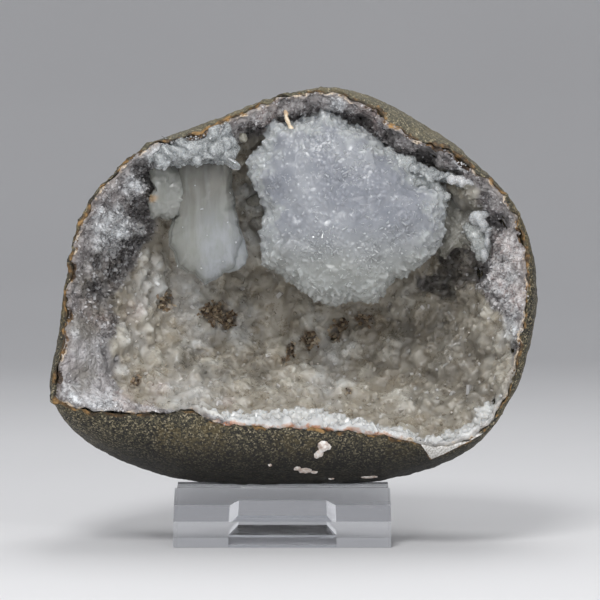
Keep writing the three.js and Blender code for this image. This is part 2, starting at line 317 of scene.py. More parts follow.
def lumps(point, size):
    """Rounded masses about size mm across, from 0 in the creases between them to 1 on top."""
    nearest, second = mass_cells(point, size)[0][:2]
    share = min((second - nearest) / 0.75, 1)
    return share * (2 - share)


def masses(point):
    """The druse's large and small round masses together, from 0 in the creases to 1."""
    return 0.55 * smooth_step(lumps(point, 19), 0, 1) + 0.45 * smooth_step(lumps(point, NODULE), 0, 1)


def crusts(point):
    """The margin's large and small round masses together, from 0 in the creases to 1."""
    return 0.45 * lumps(point, 11) + 0.3 * lumps(point, 5) + 0.25 * lumps(point, 2.3)


def facets(point, size):
    """Flat faces about size across, each tilted its own way, as where crystals have grown together."""
    centre = noise.voronoi(point / size)[1][0]
    return (point / size - centre).dot(noise.noise_vector(centre * 7.3))


def along(points, at):
    """The value at a place on a line of (place, value) points in rising order."""
    for (start, a), (end, b) in zip(points, points[1:]):
        if at <= end:
            return a + (b - a) * max((at - start) / (end - start), 0)
    return points[-1][1]


def near(point, spots, inner=0.6):
    """How near a point is to the nearest of (x, z, reach) spots on the front: 1 within the inner share of
    its reach, then down to 0."""
    spot = front_view(point)
    ragged = 0.5 * wavy(point, 6) + 0.45 * wavy(point, 2.2)
    shares = [bearing(spot, (x, z))[1] / reach for x, z, reach in spots]
    return 1 - smooth_step(min(shares) + ragged, inner, 1.2)


# The inner edges of the margins, where coarse druse takes over from fine crust, as (z, x) in mm.
LEFT_MARGIN = [
    (-45, -22), (-42, -30), (-40, -48), (-38, -60), (-35, -64), (-27, -66), (-15, -67.5), (-7, -66), (0, -68),
    (5, -65), (12, -60), (19, -55), (26, -51), (34, -49), (44, -50), (52, -50), (60, -46),
]
RIGHT_MARGIN = [
    (-51, 84), (-21, 82), (-5, 77), (1, 70), (5, 66), (12, 68), (19, 72), (26, 72), (34, 70), (41, 69),
    (47, 60), (52, 46), (59, 36),
]

# Where things grow on the front, and where shade is painted on it, as (x, z, reach) in mm.
POCKETS = [
    (-47.4, 0, 3.2), (-30, -4.5, 4.6), (-24, -6.5, 3.4), (-1.5, -18.5, 2.4), (-3.5, -22, 2),
    (6.3, -14.4, 3.6), (15.5, -12, 3), (17, -8.5, 3), (25.9, -7, 3.4), (20, -33, 1.4), (-58, -29.5, 2),
]
# Hollows sunk into the wall; their colour is darkened as painted shade.
HOLLOWS = [
    (59, 15.5, 5), (65, 15, 5), (69, 11, 3.6), (57, 10.5, 4.5), (51, 6, 3.6), (55, 4.2, 3.2), (62, 10, 5.5),
]
# Painted shade: a dark arch along the upper edge of the hollows.
ARCH = [
    (55.5, 15.5, 2.6), (57.5, 18, 2.4), (60.5, 19, 2.2), (64, 18, 2.2), (67.5, 16.5, 2), (47.5, 6.8, 2.8),
    (52, 8.2, 2.2),
]
# Dark patches sunk into the margin; their near-black is partly the crust's own colour and partly painted
# shade.
DARK_PATCHES = [
    (-55, 48, 5), (-57.7, 33.7, 5), (-64, 13, 8), (-72, 4, 5), (-60, 19, 6), (-15.5, 61.4, 5), (82.5, -17, 4),
    (25, 66.5, 3.2), (36, 61, 3.4), (48.5, 52, 4.6), (60, 46, 3), (75.5, 29.3, 4), (-60, -8, 4), (-72, 14, 3),
]
PINK_PATCHES = [
    (-54, -39.5, 4), (-25, -38, 4), (80, 18, 9), (75.5, 9, 6), (83, 2, 7), (-72, -4, 8), (-62.5, -36.6, 6),
    (-50, -32, 4), (-11.8, 67.7, 7), (29, 71, 6), (-60, -3, 5),
]
# Painted shade: spots where the wall's colour is darkened to stand in for the shadow that falls there.
SHADED = [
    (-76, 7, 8), (42, -12, 9), (-40, -21.5, 6), (62, 32, 8), (-26, -26, 5), (57, -12, 14), (64, 0, 9),
    (56, -18, 9), (-13, -26, 7), (-33, -26, 5), (-78, -27, 7), (55, -26, 18), (66, -33, 11), (66, -18, 12),
    (-70, 0, 11), (-68, 10, 11), (-78, -10, 9),
]
WHITE_PATCHES = [
    (-40, -40, 7), (-28, -42, 5), (-54, -41, 5), (-66, 24, 11), (-59, 43, 5), (-72, 33, 4), (-77, -36, 12),
    (-68, -37, 8), (-50, 53, 8), (-38, 56, 8), (-28, 59, 6), (78, -11.5, 8), (16, 73, 4), (80, 18, 7),
    (83, 0, 7), (76, 9, 8), (-80, -12, 5), (-73, -20, 10), (-13, 68, 5), (62, 50, 3),
]
PALE_PATCHES = [
    (-51, 5, 14), (-38, -34, 15), (-58, -15, 6), (-35, -13, 9), (-64, -25.5, 4), (-43, 8, 9), (12, -31, 9),
    (-41, -1, 12), (78, -12, 5), (-15, 38, 10), (60, 27, 8), (52, 30, 8), (12, -18, 12), (-20, -9, 9),
    (-15, 27, 9),
]
SMOOTH_PATCHES = [(-77, -20, 15), (-72, -28, 11)]
NOTCHES = [
    (-82, -4.4, 4), (-81, 11.5, 4), (-86, -28.5, 4), (33, 71, 4), (54, 57.5, 5), (63, 51, 4), (84, 24, 4),
    (-36, 58.5, 4),
]


def regions(point):
    """What grows on the wall at a point, and its painted shade, each 0 to 1, and its distance in mm from the
    rim.
    """
    x, z = front_view(point)
    waver = 3 * wavy(point, 9) + 1.2 * wavy(point, 3)
    inside_left = x - along(LEFT_MARGIN, z) - waver
    left = 1 - smooth_step(inside_left, -1.5, 1.5)
    right = smooth_step(x - along(RIGHT_MARGIN, z) + waver, -1.5, 1.5)
    edge = RIM_LINE.find(point)[2] / MM
    top = smooth_step(z - 0.4 * max(x - 35, 0), 37, 45) * (1 - smooth_step(edge + 2 * waver, 14, 20))
    low = smooth_step(-29 - z - 0.12 * abs(x), -6, 4)
    # painted shadow along the inner edge of the left margin
    seam_shadow = smooth_step(z, -40, -30) * (1 - smooth_step(abs(inside_left + 1), 0.6, 3))
    margin = max(left, right, top)
    hollow = near(point, HOLLOWS)
    dark = near(point, DARK_PATCHES) * margin
    creased = 1 - (crusts(point) if margin > 0.5 else masses(point))
    return {
        "edge": edge,
        "margin": margin,
        "sill": low * (1 - smooth_step(edge + waver, 5, 8)) * smooth_step(x, -32, -24) * (1 - margin),
        "pocket": near(point, POCKETS),
        "hollow": hollow,
        # dark: the margin's dark patches, partly painted shade, and painted shade in the hollows, their arch
        # and the seam
        "dark": max(dark, 0.75 * hollow, near(point, ARCH), 0.6 * seam_shadow * (0.3 + margin)),
        "pink": near(point, PINK_PATCHES, 0.2),
        "white": near(point, WHITE_PATCHES, 0.4),
        "pale": near(point, PALE_PATCHES, 0.1),
        "shade": near(point, SHADED, 0.1),
        "notch": near(point, NOTCHES, 0.3),
        "smooth": near(point, SMOOTH_PATCHES, 0.4),
        "nodule": 0.5 + noise.noise(7.3 * mass_cells(point, NODULE)[1][0]),
        "salmon": smooth_step(x, -30, -25) * (1 - smooth_step(x, 32, 44)) * low,
        # crease darkens the colour between the masses: painted shade
        "crease": smooth_step(creased, 0.5, 0.95) if margin > 0.5 else smooth_step(creased, 0.1, 0.8),
    }


# ---- meshes

CREASE = 0.75  # how firmly a sharp edge holds its shape when a mesh is divided
REPAIRS = 3  # how often a torn skin is mended
LEAST_FACES = 40  # a loose bit of a skin with fewer faces is a crumb


def mesh_of(made, name="working"):
    """A bmesh as a mesh. The bmesh is freed."""
    mesh = bpy.data.meshes.new(name)
    made.to_mesh(mesh)
    made.free()
    return mesh


def shape_of(mesh, name="working"):
    """A mesh as an object in the scene."""
    shape = bpy.data.objects.new(name, mesh)
    bpy.context.scene.collection.objects.link(shape)
    return shape


def through(made, kind, **settings):
    """What a bmesh becomes through one modifier."""
    mesh = mesh_of(made)
    shape = shape_of(mesh)
    modifier = shape.modifiers.new("working", kind)
    for name, value in settings.items():
        setattr(modifier, name, value)
    result = bmesh.new()
    result.from_object(shape, bpy.context.evaluated_depsgraph_get())
    bpy.data.objects.remove(shape)
    bpy.data.meshes.remove(mesh)
    return result


def cad_copy(node):
    """A CAD node as a bmesh, with its loose triangles merged."""
    made = bmesh.new()
    made.from_mesh(frame["nodes"][node].data)
    bmesh.ops.remove_doubles(made, verts=made.verts, dist=0.001 * MM)
    return made


def rounded_copy(node, crease):
    """A finely divided copy of a CAD node, whose edges sharper than the crease angle stay crisp."""
    made = cad_copy(node)
    flat, square = math.radians(50), math.radians(80)
    bmesh.ops.join_triangles(made, faces=made.faces, angle_face_threshold=flat, angle_shape_threshold=square)
    creases = made.edges.layers.float.new("crease_edge")
    for edge in made.edges:
        if edge.calc_face_angle(0) > crease:
            edge[creases] = CREASE
    return through(made, "SUBSURF", levels=3, render_levels=3)


def smoothed(made, passes):
    for _ in range(passes):
        bmesh.ops.smooth_vert(
            made, verts=made.verts, factor=0.5, use_axis_x=True, use_axis_y=True, use_axis_z=True
        )
    return made


def melted_copy(node, voxel, passes):
    """An evenly divided copy of a CAD node with its facets smoothed away."""
    return smoothed(through(cad_copy(node), "REMESH", mode="VOXEL", voxel_size=voxel * MM), passes)


def crumbs_of(made):
    """The faces of a bmesh's crumbs."""
    crumbs = []
    for face in made.faces:
        face.tag = False
    for first in made.faces:
        bit = [] if first.tag else [first]
        first.tag = True
        for face in bit:
            for other in [other for edge in face.edges for other in edge.link_faces]:
                if not other.tag:
                    other.tag = True
                    bit.append(other)
        if len(bit) < LEAST_FACES:
            crumbs += bit
    return crumbs


def close_holes(made):
    bmesh.ops.holes_fill(made, edges=[edge for edge in made.edges if edge.is_boundary], sides=0)


def healed(made):
    """Drops a bmesh's doubled faces, what is ragged round them and its crumbs, and closes the holes left."""
    mesh = mesh_of(made)
    mesh.validate()
    result = bmesh.new()
    result.from_mesh(mesh)
    bpy.data.meshes.remove(mesh)
    for _ in range(REPAIRS):
        close_holes(result)
        torn = [edge for edge in result.edges if not edge.is_manifold]
        ragged = dict.fromkeys(face for edge in torn for corner in edge.verts for face in corner.link_faces)
        bmesh.ops.delete(result, geom=list(ragged), context="FACES")
    close_holes(result)
    bmesh.ops.delete(result, geom=crumbs_of(result), context="FACES")
    return result


def grown(parts, voxel, kept=1, passes=1):
    """Meshes grown together under one closed skin, which keeps the given share of its faces."""
    made = bmesh.new()
    for mesh in parts:
        made.from_mesh(mesh)
    made = smoothed(through(made, "REMESH", mode="VOXEL", voxel_size=voxel * MM), passes)
    return healed(through(made, "DECIMATE", ratio=kept)) if kept < 1 else made


def closed(spots):
    """(angle, distance) pairs in order, with two more from the next turn at each end."""
    spots = sorted(spots)
    before = [(angle - math.tau, far) for angle, far in spots[-2:]]
    return before + spots + [(angle + math.tau, far) for angle, far in spots[:2]]


def fitted(made, middle, outline, teeth=0.0):
    """Widens or narrows a bmesh until its outline on the front has the given corners, round a middle, and
    between them small teeth of the given height in mm."""
    step = math.radians(3)
    polars = [(vertex, *bearing(front_view(vertex.co), middle)) for vertex in made.verts]
    reaches = {}
    for _, angle, far in polars:
        sector = round(angle / step)
        reaches[sector] = max(reaches.get(sector, 0), far)
    present = closed([(sector * step, far) for sector, far in reaches.items()])
    wanted = closed([bearing(corner, middle) for corner in outline])
    for vertex, angle, far in polars:
        reach = along(present, angle)
        jagged = teeth * noise.fractal(Vector((9 * angle, 3.3, 0)), 0.4, 2.4, 3)
        more = far * ((along(wanted, angle) + jagged) / reach - 1) * (far / reach)
        vertex.co += Vector((math.cos(angle), 0, math.sin(angle))) * more * MM
    made.normal_update()
    return made


def moved(made, place):
    """Moves each vertex of a bmesh to place(where it is)."""
    for vertex in made.verts:
        vertex.co = place(vertex.co)
    made.normal_update()
    return made


def raised(made, height):
    """Moves each vertex of a bmesh along its normal by height(place, normal)."""
    made.normal_update()
    moves = [(vertex, vertex.normal * height(vertex.co, vertex.normal)) for vertex in made.verts]
    for vertex, move in moves:
        vertex.co += move
    made.normal_update()
    return made


def marked(made, values):
    """Gives a bmesh's vertices the float attributes that values(place, normal) returns by name."""
    made.verts.ensure_lookup_table()
    for name in values(made.verts[0].co, made.verts[0].normal):
        made.verts.layers.float.new(name)
    layers = made.verts.layers.float
    for vertex in made.verts:
        for name, value in values(vertex.co, vertex.normal).items():
            vertex[layers[name]] = value
    return made


def tones_of(meshes):
    """Finds the tone of the crystal nearest to a place."""
    spots = [
        (vertex.co, tone.value)
        for mesh in meshes
        for vertex, tone in zip(mesh.vertices, mesh.attributes["tone"].data)
    ]
    tree = tree_of([place for place, _ in spots])
    return lambda at: spots[tree.find(at)[1]][1]


def piece(name, made, finish, node=None, crisp=180):
    """Makes a bmesh or a mesh one piece of the object. It stands for the CAD node that it names. Its edges
    are shaded smooth up to crisp degrees."""
    mesh = mesh_of(made, name) if isinstance(made, bmesh.types.BMesh) else made
    mesh.polygons.foreach_set("use_smooth", [crisp > 0] * len(mesh.polygons))
    if 0 < crisp < 180:
        mesh.set_sharp_from_angle(angle=math.radians(crisp))
    mesh.materials.clear()
    mesh.materials.append(finish)
    shape = shape_of(mesh, name)
    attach(shape, "root")
    if node:
        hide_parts(node)
    return shape


# ---- small crystals


def block(width, breadth, length, shear, sunk):
    """A leaning block that stands on z = 0, with a share of its length sunk below. Sizes are in mm."""
    made = bmesh.new()
    bmesh.ops.create_cube(made, size=1)
    lean = Matrix.Shear("XY", 4, (shear, shear * 0.6))
    size = Matrix.Diagonal((width * MM, breadth * MM, length * MM, 1))
    stand = Matrix.Translation((0, 0, (0.5 - sunk) * (length * MM)))
    bmesh.ops.transform(made, matrix=lean @ (stand @ size), verts=made.verts)
    return made


def prism(sides, width, flatness, length, tip, sunk):
    """A prism with a blunt point that stands on z = 0, with a share of its length sunk below. Sizes are in
    mm, except flatness, which is its breadth as a share of its width."""
    made = bmesh.new()
    width, length = width * MM, length * MM
    bmesh.ops.create_cone(
        made, cap_ends=True, segments=sides, radius1=width / 2, radius2=width / 2, depth=length
    )
    top = max(made.faces, key=lambda face: face.calc_center_median().z)
    bmesh.ops.inset_region(made, faces=[top], thickness=width * 0.36, depth=0)
    bmesh.ops.translate(made, vec=(0, 0, tip * MM), verts=top.verts)
    stand = Matrix.Translation((0, 0, (0.5 - sunk) * length)) @ Matrix.Diagonal((1, flatness, 1, 1))
    bmesh.ops.transform(made, matrix=stand, verts=made.verts)
    return made


def small_shapes(name, blocks, prisms=()):
    """A collection of small crystals, outside the scene, for spread to copy."""
    kept = bpy.data.collections.new(name)
    for index, made in enumerate([block(*sizes) for sizes in blocks] + [prism(*sizes) for sizes in prisms]):
        mesh = mesh_of(made, f"{name}_{index}")
        kept.objects.link(bpy.data.objects.new(mesh.name, mesh))
    return kept


def random_number(graph, low, high, seed):
    return graph.node("FunctionNodeRandomValue", {"data_type": "FLOAT"}, {2: low, 3: high, "Seed": seed}, 1)


def named_number(graph, name):
    return graph.node("GeometryNodeInputNamedAttribute", {"data_type": "FLOAT"}, {"Name": name})


def spread(ground, shapes, spacing, chance, size, tilt, seed):
    """Copies of small shapes all over a mesh, as one mesh. They stand at least spacing mm apart, with the
    ground's attribute chance as their likelihood and its attribute girth times a random size as their
    scale. tilt is the most that they lean, and each copy's own random number is its attribute tone."""
    tree = bpy.data.node_groups.new("spread", "GeometryNodeTree")
    for way in ("INPUT", "OUTPUT"):
        tree.interface.new_socket("Geometry", in_out=way, socket_type="NodeSocketGeometry")
    graph = Graph(tree)
    spacing = spacing * MM
    points = graph.node(
        "GeometryNodeDistributePointsOnFaces",
        {"distribute_method": "POISSON"},
        {
            "Mesh": graph.node("NodeGroupInput"),
            "Distance Min": spacing,
            "Density Max": 4 / spacing**2,
            "Density Factor": named_number(graph, chance),
            "Seed": seed,
        },
    )
    turns = {0: (-tilt, -tilt, 0), 1: (tilt, tilt, math.tau), "Seed": seed + 1}
    spin = graph.node("FunctionNodeRandomValue", {"data_type": "FLOAT_VECTOR"}, turns)
    turned = graph.node(
        "FunctionNodeRotateRotation",
        {"rotation_space": "LOCAL"},
        {0: points.sibling("Rotation"), 1: graph.node("FunctionNodeEulerToRotation", sockets={0: spin})},
    )
    numbers = {4: 0, 5: len(shapes.objects) - 1, "Seed": seed + 2}
    kept = {"Collection": shapes, "Separate Children": True, "Reset Children": True}
    copies = graph.node(
        "GeometryNodeInstanceOnPoints",
        sockets={
            "Points": points,
            "Instance": graph.node("GeometryNodeCollectionInfo", sockets=kept),
            "Pick Instance": True,
            "Instance Index": graph.node("FunctionNodeRandomValue", {"data_type": "INT"}, numbers, 2),
            "Rotation": turned,
            "Scale": named_number(graph, "girth") * random_number(graph, *size, seed + 3),
        },
    )
    toned = graph.node(
        "GeometryNodeStoreNamedAttribute",
        {"data_type": "FLOAT", "domain": "INSTANCE"},
        {"Geometry": copies, "Name": "tone", "Value": random_number(graph, 0, 1, seed + 4)},
    )
    graph.node("NodeGroupOutput", sockets={0: graph.node("GeometryNodeRealizeInstances", sockets={0: toned})})

    shape = shape_of(ground, "spread")
    shape.modifiers.new("spread", "NODES").node_group = tree
    mesh = bpy.data.meshes.new_from_object(shape.evaluated_get(bpy.context.evaluated_depsgraph_get()))
    bpy.data.objects.remove(shape)
    bpy.data.node_groups.remove(tree)
    return mesh


# ---- finishes

REGION_NAMES = "margin sill pocket dark pink white pale shade crease nodule smooth".split()


def rock_colour(finish):
    """The colours of the cavity's wall: beige druse, a mauve and white margin, and a white sill."""
    attributes = map(finish.attribute, REGION_NAMES)
    margin, sill, pocket, dark, pink, white, pale, shade, crease, nodule, smooth = attributes
    cloud = finish.noise(9, detail=3)
    fine = finish.noise(2, detail=5, distortion=0.4)
    speck = finish.noise(0.9, detail=3)
    wall = finish.layered(
        finish.ramp(cloud, (0.3, (0.42, 0.38, 0.31)), (0.5, (0.52, 0.49, 0.42)), (0.7, (0.6, 0.58, 0.525))),
        (finish.fade(nodule, 0.45, 0.8) * 0.22, (0.66, 0.645, 0.6)),
        (finish.fade(nodule, 0.4, 0.1) * 0.16, (0.3, 0.265, 0.21)),
        (pale * 0.85, (0.74, 0.75, 0.74)),
        (finish.fade(speck, 0.42, 0.3) * 0.25, (0.24, 0.2, 0.15)),
        # painted shade: the wall darker and browner in the creases between its round masses
        (crease * 0.5, (0.2, 0.155, 0.1)),
    )
    gaps = finish.gaps(3.4, 0.16) * finish.fade(finish.noise(5), 0.4, 0.6)
    rough = 1 - 0.75 * smooth
    mauve = finish.layered(
        finish.mottled(cloud, (0.26, 0.235, 0.235), (0.43, 0.405, 0.4)),
        (finish.fade(speck, 0.5, 0.7) * 0.5, (0.66, 0.65, 0.66)),
        (white * (0.5 + 0.5 * finish.fade(fine, 0.35, 0.5)), (0.76, 0.78, 0.8)),
        (smooth * 0.6, (0.42, 0.385, 0.39)),
        # painted shade: the margin near-black in the creases between its lumps
        (crease * (1 - 0.4 * white) * rough * 0.8, (0.07, 0.06, 0.06)),
        (finish.fade(speck, 0.5, 0.3) * rough * 0.3, (0.1, 0.09, 0.09)),
        # painted shade: near-black in the narrow gaps between the margin's lumps
        (gaps * rough * 0.7, (0.045, 0.038, 0.04)),
    )
    rosy = finish.mottled(fine, (0.42, 0.31, 0.28), (0.8, 0.72, 0.69), 0.4, 0.6)
    return finish.layered(
        wall,
        (margin, mauve),
        (pink * (1 - 0.6 * crease) * 0.6, rosy),
        # painted shade: the shaded spots darkened towards brown-grey
        (shade * 0.76, (0.13, 0.115, 0.09)),
        # painted shade: near-black in the hollows, their arch and the seam, and over the margin's partly dark
        # patches
        (dark * 0.88, finish.mottled(fine, (0.045, 0.04, 0.04), (0.23, 0.215, 0.21), 0.48, 0.68)),
        (pocket * 0.88, finish.mottled(fine, (0.06, 0.042, 0.028), (0.28, 0.2, 0.12), 0.42, 0.62)),
        (sill, (0.84, 0.84, 0.82)),
    )


def rim_colour(finish, colour):
    """A colour with the rim's thin cream line and rusty stains over it."""
    edge, salmon, notch = map(finish.attribute, ("edge", "salmon", "notch"))
    patchy = finish.fade(finish.noise(5, detail=3), 0.45, 0.56)
    ragged = edge + 2.2 * (finish.noise(1.8, detail=4) - 0.5)
    stained = finish.ramp(
        finish.noise(3, detail=6),
        (0.38, (0.035, 0.016, 0.006)),
        (0.52, (0.15, 0.08, 0.026)),
        (0.64, (0.45, 0.26, 0.09)),
    )
    return finish.layered(
        colour,
        (finish.fade(ragged, 2.6, 1.2) * (1 - salmon) * 0.5, (0.16, 0.13, 0.11)),
        (finish.fade(ragged, 1.0, 0.6) * patchy * 0.8, (0.72, 0.6, 0.46)),
        (finish.fade(ragged, 1.5, 0.8) * salmon * (0.55 + 0.35 * patchy), (0.66, 0.31, 0.18)),
        (finish.fade(ragged - 2.5 * notch, 0.6, 0.2), stained),
        (notch * finish.fade(ragged, 3.4, 2.0) * 0.9, (0.03, 0.016, 0.008)),
    )


def druse_finish():
    finish = Finish("druse")
    tone = finish.attribute("tone")
    colour = rim_colour(finish, finish.mix(0.1 * tone, rock_colour(finish), (0.72, 0.71, 0.69)))
    height = finish.noise(0.9, detail=4)
    lumpy = 0.5 * height - 0.5 * finish.gaps(3.4, 0.3)
    roughness = 0.15 + 0.2 * height + 0.15 * tone
    crystals = finish.shader(colour, roughness, finish.bump(height, 0.14), milk=0.9, depth=5, clear=0.12)
    crust = finish.shader(colour, 0.3 + 0.35 * height, finish.bump(lumpy, 0.8), milk=0.3, depth=0.8)
    both = {0: finish.attribute("margin"), 1: crystals, 2: crust}
    return finish.shown(finish.node("ShaderNodeMixShader", sockets=both))


def sill_finish():
    finish = Finish("sill_crystals")
    cloud = finish.noise(6, detail=3)
    colour = rim_colour(finish, finish.mottled(cloud, (0.74, 0.74, 0.72), (0.87, 0.88, 0.86)))
    normal = finish.bump(finish.noise(0.8, detail=3), 0.04)
    return finish.surface(colour, 0.1 + 0.2 * cloud, normal, milk=0.85, depth=2.5, clear=0.35)


def rust_finish():
    finish = Finish("rusty_grains")
    colour = finish.ramp(
        finish.attribute("tone"),
        (0.0, (0.045, 0.03, 0.018)),
        (0.45, (0.19, 0.13, 0.08)),
        (0.75, (0.34, 0.26, 0.17)),
        (1.0, (0.55, 0.46, 0.34)),
    )
    speck = finish.noise(0.5)
    return finish.surface(colour, 0.3 + 0.3 * speck, finish.bump(speck, 0.05), milk=0.3, depth=1)


def grain_finish():
    finish = Finish("sugar_grains")
    tone = finish.attribute("tone")
    colour = finish.mix(finish.fade(tone, 0.4, 1) * 0.5, rock_colour(finish), (0.88, 0.88, 0.9))
    return finish.surface(colour, 0.1 + 0.4 * tone, milk=0.4, depth=0.7, clear=0.2)


def milky_colour(finish):
    """Bluish and milky above, with white wisps, and greenish grey below."""
    cloud = finish.noise(13, detail=3)
    height = finish.axis("Z") + 14 * MM * (cloud - 0.5)
    low = finish.fade(height, CENTRE.z + 31 * MM, CENTRE.z + 9 * MM)
    frost = finish.fade(finish.noise(3, detail=3), 0.36, 0.52)
    wisp = finish.noise(2.2, detail=4, distortion=2.0)
    colour = finish.layered(
        finish.mottled(cloud, (0.37, 0.39, 0.435), (0.48, 0.5, 0.535)),
        (low * 0.8, (0.47, 0.485, 0.45)),
        (finish.attribute("rind") * (1 - 0.5 * low) * (0.32 + 0.4 * frost), (0.7, 0.73, 0.72)),
        (finish.fade(wisp, 0.52, 0.7) * 0.2, (0.78, 0.79, 0.81)),
    )
    return colour, wisp


def cluster_finish():
    finish = Finish("milky_goosecreekite")
    colour, wisp = milky_colour(finish)
    return finish.surface(colour, 0.14 + 0.2 * wisp, finish.bump(wisp, 0.07), milk=0.85, depth=9, clear=0.35)


def glint_finish():
    finish = Finish("glinting_goosecreekite")
    colour, wisp = milky_colour(finish)
    # painted highlight: the glints' colour a quarter of the way to white, over their real gloss
    return finish.surface(finish.mix(0.25, colour, (0.9, 0.91, 0.93)), 0.04 + 0.08 * wisp, milk=0.9, depth=5)


def sheaf_finish(name, height, side):
    """Greenish grey see-through crystal, duller above the height and left of the side, in mm."""
    finish = Finish(name)
    fibres = finish.noise(2.4, detail=3, at=finish.stretched((1, 1, 0.1)))
    threads = finish.noise(0.9, at=finish.stretched((1, 1, 0.15)))
    streaks = finish.noise(7, at=finish.stretched((1, 1, 0.3)))
    low = finish.fade(finish.axis("Z"), CENTRE.z + (height + 26) * MM, CENTRE.z + height * MM)
    right = finish.fade(finish.axis("X") + 5 * MM * (streaks - 0.5), side * MM, (side + 7) * MM)
    colour = finish.layered(
        (0.3, 0.295, 0.265),
        (low, (0.46, 0.47, 0.44)),
        (low * right * 0.8, (0.56, 0.59, 0.63)),
        (finish.fade(finish.noise(6, detail=3), 0.45, 0.62) * 0.35, (0.4, 0.42, 0.37)),
        (finish.fade(fibres, 0.5, 0.7) * 0.2, (0.66, 0.68, 0.71)),
        (finish.fade(threads, 0.5, 0.35) * 0.12, (0.25, 0.25, 0.22)),
        (finish.attribute("stain") * 0.7, (0.66, 0.42, 0.2)),
    )
    return finish.surface(
        colour, 0.06 + 0.14 * fibres, finish.bump(fibres, 0.1), milk=0.7, depth=3, clear=0.48
    )


def crust_finish(name, dark=(0.35, 0.37, 0.375), pale=(0.52, 0.545, 0.555)):
    finish = Finish(name)
    grain = finish.noise(0.8, detail=3)
    colour = finish.mottled(finish.noise(5, detail=4), dark, pale, 0.35, 0.62)
    colour = finish.mix(finish.fade(grain, 0.5, 0.66) * 0.25, colour, (0.8, 0.81, 0.82))
    return finish.surface(colour, 0.12 + 0.3 * grain, finish.bump(grain, 0.1), milk=0.85, depth=4, clear=0.35)


def clear_crystal_finish():
    finish = Finish("clear_crystal")
    veil = finish.noise(2.5, detail=3)
    colour = finish.mottled(veil, (0.9, 0.93, 0.95), (0.97, 0.98, 1.0), 0.4, 0.7)
    return finish.surface(colour, 0.05 + 0.12 * veil, finish.bump(veil, 0.06), clear=0.9)


def acrylic_finish():
    finish = Finish("clear_acrylic")
    smudge = finish.fade(finish.noise(16, detail=4, distortion=0.8), 0.5, 0.75)
    scratch = finish.fade(finish.noise(0.7, at=finish.stretched((0.04, 1, 1))), 0.62, 0.72)
    colour = finish.mix(smudge, (0.96, 0.97, 1.0), (0.93, 0.94, 0.97))
    roughness = 0.02 + 0.1 * smudge + 0.12 * scratch
    return finish.surface(colour, roughness, finish.bump(scratch, 0.01), clear=1.0, ior=1.49)


TIP_ACROSS = 49.5 * MM  # where the V below the cavity comes to its tip, from the cavity's centre line
TIP_BELOW = 56.4 * MM


def basalt_finish():
    finish = Finish("weathered_basalt")
    height = finish.axis("Z")
    grain = finish.grains(0.5)
    specks = finish.ramp(
        grain,
        (0.0, (0.004, 0.004, 0.003)),
        (0.36, (0.01, 0.009, 0.007)),
        (0.48, (0.055, 0.048, 0.03)),
        (0.72, (0.12, 0.105, 0.062)),
        (0.86, (0.26, 0.22, 0.13)),
        (1.0, (0.5, 0.43, 0.3)),
    )
    golden = finish.fade(finish.noise(22, detail=3), 0.46, 0.62) * finish.fade(finish.grains(1.1), 0.35, 0.6)
    high = finish.fade(height, CENTRE.z + 30 * MM, CENTRE.z + 62 * MM)
    # painted shade: the stone's lower part darker, where less light reaches it
    low = finish.fade(height, CENTRE.z - 40 * MM, CENTRE.z - 60 * MM)
    bottom_shade = finish.mottled(grain, (0.004, 0.0035, 0.003), (0.04, 0.035, 0.022), 0.6, 1)
    patchy = finish.fade(finish.noise(6, detail=3), 0.4, 0.6)
    ragged = finish.attribute("edge") + 2.4 * (finish.noise(2.5, detail=4) - 0.5)
    rusty = finish.ramp(
        finish.noise(3, detail=6),
        (0.38, (0.014, 0.009, 0.004)),
        (0.52, (0.08, 0.043, 0.015)),
        (0.65, (0.33, 0.19, 0.065)),
    )
    rusted = finish.fade(ragged - 1.2 * patchy - 1.5 * finish.attribute("notch"), 0.6, 0.0)
    above_tip = height - CENTRE.z + TIP_BELOW
    waver = 1.6 * MM * (finish.noise(1.5, detail=3) - 0.5)
    off_tip = abs(finish.axis("X") - TIP_ACROSS - 0.6 * above_tip) - 1.3 * above_tip + waver
    front = finish.fade(finish.axis("Y"), CENTRE.y + 16 * MM, CENTRE.y + 12 * MM)
    front = front * finish.fade(above_tip, 10 * MM, 9 * MM)
    pits = finish.noise(0.7, detail=4)
    white = finish.mottled(pits, (0.5, 0.47, 0.43), (0.82, 0.81, 0.78), 0.4, 0.6)
    colour = finish.layered(
        finish.mottled(finish.noise(14, detail=4), (0.017, 0.015, 0.01), (0.05, 0.046, 0.03)),
        (0.72, specks),
        (golden * 0.45, (0.15, 0.11, 0.04)),
        (high * 0.3, (0.2, 0.185, 0.13)),
        # painted shade: the lower part nearly black
        (low * 0.93, bottom_shade),
        (rusted * 0.85, rusty),
        (finish.fade(off_tip, 0.9 * MM, 0.5 * MM) * front, rusty),
        (finish.fade(off_tip, 0.3 * MM, 0) * front, white),
    )
    ripples = finish.bump(finish.noise(4, detail=3), 0.6)
    return finish.surface(colour, 0.6 + 0.25 * pits, finish.bump(pits, 0.25, ripples))


def amygdale_finish():
    finish = Finish("zeolite_filling")
    cloud = finish.noise(2, detail=4)
    pink, cream, white = (0.4, 0.28, 0.22), (0.62, 0.55, 0.5), (0.85, 0.83, 0.8)
    colour = finish.ramp(cloud, (0.35, pink), (0.5, cream), (0.65, white))
    return finish.surface(colour, 0.35 + 0.2 * cloud, finish.bump(cloud, 0.2), milk=0.4, depth=1)


def pale_lump_finish():
    finish = Finish("pale_lumps")
    colour = finish.mottled(finish.noise(5, detail=3), (0.3, 0.29, 0.25), (0.42, 0.41, 0.37))
    grain = finish.noise(0.9, detail=3)
    return finish.surface(colour, 0.15 + 0.2 * grain, finish.bump(grain, 0.06), milk=0.9, depth=4, clear=0.2)


